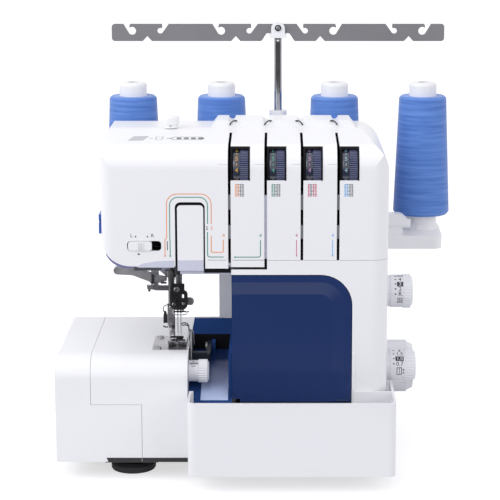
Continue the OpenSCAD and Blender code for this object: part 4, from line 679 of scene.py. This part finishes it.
# Ring of bars round an axis parallel to X: one bar for each point of the cloud
tick_group, size, end = new_group("ring_of_ticks", {
    "Radius": 0.017, "Tick length": 0.0022, "Tick width": 0.0006, "Step": 0.61, "First": 0.3})
tick_size = node_of(tick_group, "ShaderNodeCombineXYZ", X=size["Tick width"], Y=0.0002,
                    Z=size["Tick length"])
tick = node_of(tick_group, "GeometryNodeMeshCube", Size=tick_size.outputs["Vector"])
out = node_of(tick_group, "ShaderNodeCombineXYZ", Y=maths(tick_group, "MULTIPLY", size["Radius"], -1))
moved = node_of(tick_group, "GeometryNodeTransform", Geometry=tick.outputs["Mesh"],
                Translation=out.outputs["Vector"])
number = tick_group.nodes.new("GeometryNodeInputIndex").outputs["Index"]
spin = node_of(tick_group, "ShaderNodeCombineXYZ",
               X=maths(tick_group, "MULTIPLY_ADD", number, size["Step"], size["First"]))
tick_paint = close_group(tick_group, size, end, moved.outputs["Geometry"], ink["dark"],
                         Rotation=spin.outputs["Vector"])


def ring(name, body, finish, centre, count, radius, length, width, step, first):
    """Bars round a drum, with their sizes in mm and their turns in degrees."""
    tick_paint.inputs["Material"].default_value = finish
    grow(name, tick_group, body, {
        "Radius": radius / 1000, "Tick length": length / 1000, "Tick width": width / 1000,
        "Step": math.radians(step), "First": math.radians(first)}, points=[centre] * count)


# Each dial: a smooth band with its numbers and ticks, and pale bars on the rib crests beside it as a painted
# highlight
DRUM_Y, DRUM_Z, DRUM_R = -82.9, 283, 17.0
for k, (x, shade) in enumerate(zip(SLOTS, ("yellow", "mint", "mauve", "ice"))):
    body = f"tension_{k + 1}"
    band = round_x(DRUM_R, DRUM_Y, DRUM_Z, x + 3.4)
    piece(f"dial_band_{k + 1}", body, band_moulding, [turned(
        [(16.2, 3.6), (16.9, 3.7), (17.0, 3.9), (17.0, 9.2), (16.9, 9.4), (16.2, 9.4), (16.2, 3.6)],
        lambda a, b, c: (x + c, DRUM_Y + a, DRUM_Z + b), 72)])
    piece(f"dial_numbers_{k + 1}", body, ink[shade], [
        figures(str(n), 4.0, 3.1, (n - 4) * 16.9 * math.radians(35), band) for n in range(10)])
    ring(f"dial_ticks_{k + 1}", body, ink[shade], (x + 6.5, DRUM_Y, DRUM_Z), 9,
         DRUM_R, 2.2, 0.6, -35, -17.5)
    ring(f"dial_rib_crests_{k + 1}", body, rib_painted_highlight, (x + 13.1, DRUM_Y, DRUM_Z), 64,
         17.55, 0.45, 6.6, 360 / 64, 0.0)

# Black rims of the windows and guide plates in three of the slots. Black strips in the middle
# panel's gap, at the ends of the slots and in the recess behind the tongue are painted shade
black_part = made_of(black_moulding)
black_part("dial_rims", "machine", [
    lining((x + left, x + right), up, low, high, arm_skin, steps) for x in SLOTS
    for left, right, up, low, high, steps in (
        (1.15, 2.95, (274.3, 304.4), -1.0, 0.26, 12), (17.06, 18.1, (274.0, 305.6), 0.01, 0.3, 12),
        (16.72, 17.04, (274.3, 305.4), -2.5, 0.3, 12), (1.15, 18.1, (303.3, 306.8), -0.4, 0.3, 4))])
piece("slot_guides", "machine", guide_plate, [
    slab(rounded(x - 1.15, low, x + 1.15, high, 0.3, 2), -9, -2.2, on_front)
    for x in (SLOTS[0], *SLOTS[2:]) for low, high in ((247.8, 261.2), (221.8, 233.8))])
black_part("panel_gasket", "machine", [line(
    [(-73.8, 196.5)] + bend(-69.8, 249.5, 4, 180, 90, 6) + bend(-53.2, 249.5, 4, 90, 0, 6) + [(-49.2, 196.5)],
    2.4, lambda a, b, c: arm_skin(a, b, c - 0.9), 0.12)])
# Black liners on the white end walls of the slots: painted shade
black_part("slot_ends", "machine", [
    block((x - 1.15, -35.6, 303.4), (x + 1.15, -33.7, 306.75)) for x in SLOTS])
# Black block in the recess below the tongue: painted shade
black_part("tongue_recess", "machine", [
    block((-49.6, -97.5, 191.2), (-26.2, -96.95, 196.2))], bevel=0.15)
# Lavender strip inside the second slot: painted shade on white plastic
painted_shade_part("slot_liner", "machine", [block((3.65, -97.3, 204), (5.95, -90.5, 260.6))])

# ---------------------------------------------------------------- prints on the arm
# Coloured thread paths with their numerals, stitch charts under the dials, the marks of the
# slider and the threading chart on top, all pad-printed on the white arm cover.


def tip(a, b, way, size=1.0):
    """A small printed arrowhead; way is its direction in degrees."""
    c, s = math.cos(math.radians(way)), math.sin(math.radians(way))
    corners = [(0, 0), (-1.9 * size, 0.85 * size), (-1.9 * size, -0.85 * size)]
    return slab([(a + x * c - y * s, b + x * s + y * c) for x, y in corners], -0.02, 0.11, arm_skin)


def printed(name, shade, shapes, body="machine"):
    """Pad print in one ink on a white moulding; lines of painted shade are drawn with it too."""
    piece(name, body, ink[shade], shapes)


orange_path = [(-83.8, 206.5), (-83.7, 220.8), (-82.1, 223.4)] + bend(-72.7, 252.9, 9.3, 180, 90)
orange_path += bend(-52.2, 252.9, 9.3, 90, 0) + [(-42.9, 235.6)]
green_path = [(-79.2, 206.5), (-79.2, 220.8), (-79.4, 223.4)] + bend(-72.0, 252.0, 7.3, 180, 90)
green_path += bend(-53.4, 252.0, 7.3, 90, 0) + [(-46.1, 235.6)]
printed("orange_thread_path", "orange", [
    line(orange_path, 0.75), tip(-83.8, 205.4, -90),
    line([(-43, 225.2)] + bend(-41.8, 211.3, 1.2, 180, 270, 4) + bend(-33.7, 211.3, 1.2, 270, 360, 4)
         + [(-32.5, 221.4)], 0.75),
    figures("5", 3.4, -42.6, 231.6), figures("4", 3.4, -32.2, 225.2)])
printed("green_thread_path", "green", [
    line(green_path, 0.75), tip(-79.2, 205.4, -90),
    line([(-46.3, 228.4)] + bend(-44.3, 207.9, 2.0, 180, 270, 5) + [(-32.2, 205.9)], 0.75),
    line([(0.2, 221)] + bend(-1.8, 207.8, 2.0, 360, 270, 5) + [(-22.4, 205.8)], 0.75),
    tip(-23.6, 205.8, 180), figures("4", 3.4, 0.2, 225.0)])
for shade, x in (("pink", 31.9), ("blue", 63.6)):
    printed(f"{shade}_thread_path", shade, [
        line([(x, 221.2), (x, 207.4)], 0.6), tip(x, 206, -90, 0.8), figures("4", 3.2, x, 225.2)])
printed("green_fives", "dark", [figures("5", 3.4, -46.7, 231.6)])
for k, (x, shade, bold) in enumerate(zip(SLOTS, ("orange", "green", "pink", "blue"),
                                         ((0, 1), (0, 1), (0, 2, 3), (0, 1)))):
    waves = [line([(x + 5.8 + 2.1 * n + 0.75 * math.cos(math.pi * (6 * t / 11 + n)), 259.8 + 11.2 * t / 33)
                   for t in range(34)], 0.42) for n in range(4)]
    printed(f"stitch_chart_{k + 1}a", shade, [waves[n] for n in bold])
    printed(f"stitch_chart_{k + 1}b", "mid", [waves[n] for n in range(4) if n not in bold] + [
        line([(x + 6.2, 261.9 + 2.9 * t), (x + 12.2, 261.9 + 2.9 * t)], 0.25) for t in range(4)])
printed("slider_marks", "dark", [
    figures("L", 3.3, -113.0, 225.0), figures("R", 3.3, -94.6, 225.0), tip(-106.9, 209.9, 90, 0.9),
    line([(-108.4, 208.0), (-105.4, 208.0)], 0.35)] + [
    slab(edge, -0.02, 0.08, arm_skin) for edge in (
        bend(-109.4, 224.2, 0.7, 0, 330, 11), bend(-99.0, 224.2, 0.7, 0, 330, 11),
        rounded(-82.0, 211.9, -81.3, 220.2, 0.3, 2))])
printed("threading_chart", "mid", [
    line([(-80.4, 335.5), (-76.6, 341.5), (-52.6, 341.5), (-50.2, 335.5), (-52.6, 329.5), (-76.6, 329.5),
          (-80.4, 335.5)], 1.0), line([(-83.6, 335.5), (-80.4, 335.5)], 1.6)] + [
    line([(-74.6 + 6.4 * n, 335.5), (-70.4 + 6.4 * n, 335.5)], 7.0) for n in range(4)])
printed("threading_chart_grey", "grey", [
    line([(-117.5 + 0.9 * n, 327 + 4 * n), (-103.5 + 0.9 * n, 328 + 4 * n)], 2.6)
    for n in range(5)] + [
    line([(-98.6, 335.5), (-95.4, 335.5)], 2.0),
    line([(-93.4, 342), (-92.6, 329), (-87.6, 329), (-86.8, 342), (-93.4, 342)], 1.0)])
# Grey lines along the seams under the lips are painted shade in the joints
printed("lip_seams", "mid", [
    line([(-24.4, 203.1), (3.8, 203.1)], 0.4), line([(-46, 203.1), (-29.4, 203.1)], 0.3)])
# Grey lines where the arm cover is creased beside the slots: painted shade in the creases
printed("panel_creases", "grey", [
    lining((x - 9.4, x - 1.3), (288.2, 288.45), -0.02, 0.03, arm_skin) for x in SLOTS])

# ---------------------------------------------------------------- guides on the lid, pressure knob
# Bent wire eyes in the lid's notches lead the threads down into the slots. The white knob beside
# them sets the presser pressure. The blue hooked cutter is let into the end of the head.
dress(surface("blue_moulding", (0.035, 0.1, 0.42), 0.35, coat=0.3), "thread_cutter")
wires = []
for x, way in zip(SLOTS, (1, 1, -1, -1)):
    wires.append(rod([(x + way * a, -8.3 + 0.3 * (b < 312), b) for a, b in (
        (4.4, 314.1), (3.0, 314.2), (1.8, 313.9), (0.5, 313.1), (-0.6, 312.0), (-1.4, 310.7), (-1.6, 309.9))],
        0.62, 8))
    wires.append(rod([(x + way * 4.4, -8.3, 314.1), (x + way * 4.6, -6.6, 314.0)], 0.62, 8))
    wires.append(slab([(x + way * a, b) for a, b in ((4.6, 313.2), (4.6, 314.5), (1.6, 314.5), (1.2, 313.6))],
                      0, 0.9, facing_front(-7.6)))
blued_part("thread_eyes", "machine", wires)
dress(white_gloss, "pressure_knob", "thread_slider")


def neck(a, b, c, radius=6.2):
    """a runs round the pressure knob from its front, and b up."""
    return -82.5 + (radius + c) * math.sin(a / radius), -11.5 - (radius + c) * math.cos(a / radius), b


printed("pressure_plus", "grey", [
    line([(-1.3, 310.4), (0, 310.4), (1.3, 310.4)], 0.5, neck), line([(0, 309.2), (0, 311.6)], 0.5, neck)],
    "pressure")

# ---------------------------------------------------------------- knobs, handwheel and switch
# White moulded knobs with ribbed grips and printed scales, and a plain white handwheel. Switch
# and inlet are black and sit low on the right-hand side.
knob_white = surface("knob_white", (0.76, 0.765, 0.8), 0.36, mottle=0.012, coat=0.15)
dress(knob_white, "stitch_width_knob", "stitch_length_dial", "differential_dial", "handwheel")
dress(surface("inlet_moulding", (0.012, 0.012, 0.014), 0.5, mottle=0.2), "inlet_socket")
width_band = round_x(9.7, -78, 96, -65.1)
printed("width_knob_marks", "dark", [
    line([(1.4 + 0.62 * n, 9.6 + (1.3 if n % 2 else -0.9)) for n in range(13)], 0.5, width_band),
    line([(2.6, 7.2), (4.6, 6.8), (6.6, 7.2)], 0.6, width_band),
    line([(3.4, 12.2), (5.8, 12.2)], 0.5, width_band),
    lining((8.9, 9.2), (-12, 12), 0.0, 0.04, width_band, 12)], "width")
DIAL_R, DIAL_Y, LENGTH_Z, FEED_Z = 14.9, -51.5, 164, 94
length_band = round_x(DIAL_R, DIAL_Y, LENGTH_Z, 113.7)
printed("length_dial_marks", "dark", [
    figures("4", 4.0, 12.3, 14.8, length_band), figures("2", 4.0, 12.3, 5.0, length_band),
    figures("R", 4.0, 12.3, 0.4, length_band),
    lining((9.5, 15.1), (7.4, 12.0), 0.0, 0.06, length_band, 4)] + [
    line([(9.8 + 1.7 * n, -4.2), (11.0 + 1.7 * n, -5.9), (9.8 + 1.7 * n, -7.6)], 0.6, length_band)
    for n in range(3)] + [
    line([(9.4, b), (15.2, b)], 0.5, length_band) for b in (-3.4, -8.4, 19.0, 21.0)], "length")
piece("length_dial_boxed", "length", knob_white, [
    figures("3", 3.6, 12.3, 9.7, lambda a, b, c: length_band(a, b, c + 0.05))])
ring("length_dial_dots", "length", ink["dark"], (121.8, DIAL_Y, LENGTH_Z), 5,
     DIAL_R, 1.1, 1.3, -18.2, -1.6)
feed_band = round_x(DIAL_R, DIAL_Y, FEED_Z, 113.7)
printed("differential_dial_marks", "dark", [
    figures("0.7", 4.0, 12.9, 5.0, feed_band), figures("1.5", 4.0, 12.9, 15.0, feed_band),
    figures("2", 4.0, 12.9, 20.0, feed_band), lining((9.0, 16.6), (7.7, 12.2), 0.0, 0.06, feed_band, 4),
    line([(10.4, 1.4), (10.4, -5.2), (14.6, -5.2), (14.6, 1.4), (10.4, 1.4)], 0.6, feed_band),
    line([(12.5, 1.4), (12.5, -5.2)], 0.4, feed_band),
    line([(16.3, 0.2), (16.3, -1.2)], 1.1, feed_band),
    line([(16.3, -2.8), (16.3, -4.2)], 1.1, feed_band)], "differential")
piece("differential_dial_boxed", "differential", knob_white, [
    figures("1.0", 3.5, 12.9, 10.0, lambda a, b, c: feed_band(a, b, c + 0.05))])
ring("differential_dial_dots", "differential", ink["dark"], (121.2, DIAL_Y, FEED_Z), 4,
     DIAL_R, 1.1, 1.3, -19.2, -19.5)
piece("switch_marks", "switch", ink["grey"], [
    line([(-0.1, -2.2), (-0.1, 0)], 0.5, lambda a, b, c: (115.0 + c - 0.25 * b, -37.0 + a, 27 + b))])
bright_part("inlet_pins", "machine", [
    block((99.4, 28 - 1.1 + 6 * n, 30.1), (109.7, 28 + 1.1 + 6 * n, 33.9)) for n in (-1, 0, 1)], bevel=0.3)

# ---------------------------------------------------------------- looper cover, chute and bin
# Navy mouldings: the hinged looper cover with its sunk panel, and the glossy chute behind the
# knives. The white bin hangs in front and catches the trimmings.
dress(surface("navy_moulding", (0.008, 0.027, 0.117), 0.28, mottle=0.02, patch=0.09, gloss=0.008),
      "front_cover")
dress(surface("navy_gloss", (0.022, 0.06, 0.2), 0.3, mottle=0.04, depth=0.00001, shine=0.0), "trim_chute")
dress(surface("bin_white", (0.8, 0.805, 0.83), 0.34, mottle=0.015, patch=0.08, coat=0.15), "trim_bin")
liner = surface("chute_liner", (0.02, 0.05, 0.19), 0.16, mottle=0.04, coat=1.0, shine=1.0)
# The liner turns pale lavender towards its front: a painted reflection of the white arm underside above it
tint_along(liner, "Y", -0.032, -0.088, (0.52, 0.61, 0.88))
CHUTE_Y, CHUTE_Z, CHUTE_SLOPE = -14.5, 98.55, 0.2924
piece("chute_liner", "machine", liner, [slab(
    [(-98, 0), (-17, 0), (-16.6, 0.5), (-98, 0.5)], -54, -29.3,
    lambda a, b, c: (c, a, CHUTE_Z + CHUTE_SLOPE * (a - CHUTE_Y) + b))], bevel=0.15)
# Black strip under the deck's front edge: painted shade from the overhang
black_part("chute_curtain", "machine", [
    block((-63, -15.4, 99.4), (-26.4, -14.6, 113.7))], bevel=0.2)
# White strips on the deck's rear edge: a painted highlight where that edge catches the light
white_part("deck_trim", "machine", [
    block((left, 45.0, 113.9), (right, 45.9, 115.3)) for left, right in ((-64.2, -38.2), (-37.6, -27))],
    bevel=0.2)
# Black band behind the gap round the cover's top and right-hand edge: painted shade in that gap
black_part("cover_gasket", "machine", [
    slab([(78.4, 96), (82, 96), (82, 161.5)] + bend(53.2, 161.5, 28.7, 0, 90, 10)
         + bend(53.2, 161.5, 25.2, 90, 0, 10), 0, 0.6, facing_front(-93.7))])
white_part("cover_catch", "machine", [
    slab(rounded(81.7, 84, 84.6, 118, 0.6, 3), -0.3, 0.5, on_front)], bevel=0.15)

# ---------------------------------------------------------------- stand, cones and thread tree
# White stand moulding, four cones cross-wound with blue polyester, a chromed telescopic mast
# with a rivet, and a grey lacquered sheet-metal tree held by a white clip and a dark screw.
dress(white_gloss, "spool_stand", "tree_bracket")
dress(surface("cone_white", (0.8, 0.8, 0.82), 0.45), *(f"cone_core_{n}" for n in (1, 2, 3, 4)))


def thread_finish(name, deep, pale):
    """Polyester thread: streaks and fine ridges that run round the cone, with a soft sheen."""
    finish, tree, shader = new_finish(name, Roughness=0.6, Sheen_Weight=0.3, Sheen_Roughness=0.4)
    where = tree.nodes.new("ShaderNodeTexCoord").outputs["Object"]
    flat = node_of(tree, "ShaderNodeMapping", Scale=(16, 16, 330), Rotation=(0.03, 0.05, 0), Vector=where)
    streaks = node_of(tree, "ShaderNodeTexNoise", Scale=1, Detail=5, Roughness=0.65,
                      Vector=flat.outputs["Vector"])
    turns = node_of(tree, "ShaderNodeTexWave", bands_direction="Z", Scale=390, Distortion=2.5, Detail=2,
                    Vector=where)
    ridge = node_of(tree, "ShaderNodeBump", Strength=0.7, Distance=0.00015, Height=turns.outputs["Fac"])
    tree.links.new(ramp(tree, streaks.outputs["Fac"], 0.34, 0.68, deep, pale), shader["Base Color"])
    tree.links.new(ridge.outputs["Normal"], shader["Normal"])
    return finish


dress(thread_finish("wound_thread", (0.05, 0.15, 0.5), (0.12, 0.27, 0.68)),
      *(f"thread_{n}" for n in (1, 2, 3, 4)))
# Pale and deep strands are lit and shaded copies of the one blue thread: painted highlight and shade
painted_light_strands = {"pale": thread_finish("pale_strand", (0.16, 0.34, 0.78), (0.26, 0.46, 0.86)),
           "deep": thread_finish("deep_strand", (0.03, 0.1, 0.38), (0.05, 0.14, 0.46))}

# Cross-wound lay: one strand that climbs and falls round the cone many times
lay_sizes = {"Foot radius": 0.0269, "Top radius": 0.0226, "Foot height": 0.2115, "Top height": 0.3213,
             "Turns": 22.3, "Passes": 9.0, "Strand radius": 0.00032, "Points": 1100}
lay_group, size, end = new_group("thread_lay", lay_sizes)
wire = node_of(lay_group, "GeometryNodeCurvePrimitiveLine")
split = node_of(lay_group, "GeometryNodeResampleCurve", Curve=wire.outputs["Curve"], Count=size["Points"])
along = lay_group.nodes.new("GeometryNodeSplineParameter").outputs["Factor"]
climb = maths(lay_group, "PINGPONG", maths(lay_group, "MULTIPLY", along, size["Passes"]), 1.0)
wide, high = (maths(lay_group, "MULTIPLY_ADD", climb, maths(lay_group, "SUBTRACT", upper, lower), lower)
              for upper, lower in ((size["Top radius"], size["Foot radius"]),
                                   (size["Top height"], size["Foot height"])))
turn = maths(lay_group, "MULTIPLY", maths(lay_group, "MULTIPLY", along, size["Turns"]), 2 * math.pi)
spot = node_of(lay_group, "ShaderNodeCombineXYZ", Z=high,
               X=maths(lay_group, "MULTIPLY", wide, maths(lay_group, "COSINE", turn)),
               Y=maths(lay_group, "MULTIPLY", wide, maths(lay_group, "SINE", turn)))
placed = node_of(lay_group, "GeometryNodeSetPosition", Geometry=split.outputs["Curve"],
                 Position=spot.outputs["Vector"])
section = node_of(lay_group, "GeometryNodeCurvePrimitiveCircle", Resolution=5, Radius=size["Strand radius"])
tube = node_of(lay_group, "GeometryNodeCurveToMesh", Curve=placed.outputs["Geometry"],
               Profile_Curve=section.outputs["Curve"], Fill_Caps=True)
strand_paint = close_group(lay_group, size, end, tube.outputs["Mesh"], painted_light_strands["pale"])
for k, x in enumerate((-125.4, -39.4, 70.6, 156.6)):
    for shade, turns, passes in (("pale", 22.3, 9.0), ("deep", 17.6, 7.0)):
        strand_paint.inputs["Material"].default_value = painted_light_strands[shade]
        grow(f"{shade}_lay_{k + 1}", lay_group, f"cone_{k + 1}",
             lay_sizes | {"Turns": turns + 0.27 * k, "Passes": passes}, points=[(x, 95.5, 0)], smooth=80)

dress(surface("chrome_tube", (0.5, 0.5, 0.52), 0.12, metallic=1, grain=0.002, depth=0.000004, gloss=0.03),
      "mast_tube")
dress(surface("tree_lacquer", (0.2, 0.2, 0.212), 0.42, grain=0.0005, depth=0.00003, mottle=0.05),
      "thread_tree")
MAST_X = 15.6
head, bar = screw_face(MAST_X, 88.6, 390.6, 1.7, 40)
blued_part("bracket_washer", "tree", [turned(
    [(0, 0), (3.1, 0), (3.1, 0.3), (2.7, 0.6), (0, 0.6)], facing_front(89.15, MAST_X, 390.6), 28)])
bright_part("bracket_screw", "tree", [head])
piece("bracket_screw_slot", "tree", black_moulding, [bar])
bright_part("mast_rivet", "mast", [turned(
    [(0, 0), (1.4, 0), (1.3, 0.5), (0.8, 0.9), (0, 1.0)], facing_front(91.15, MAST_X, 378.2), 20)])
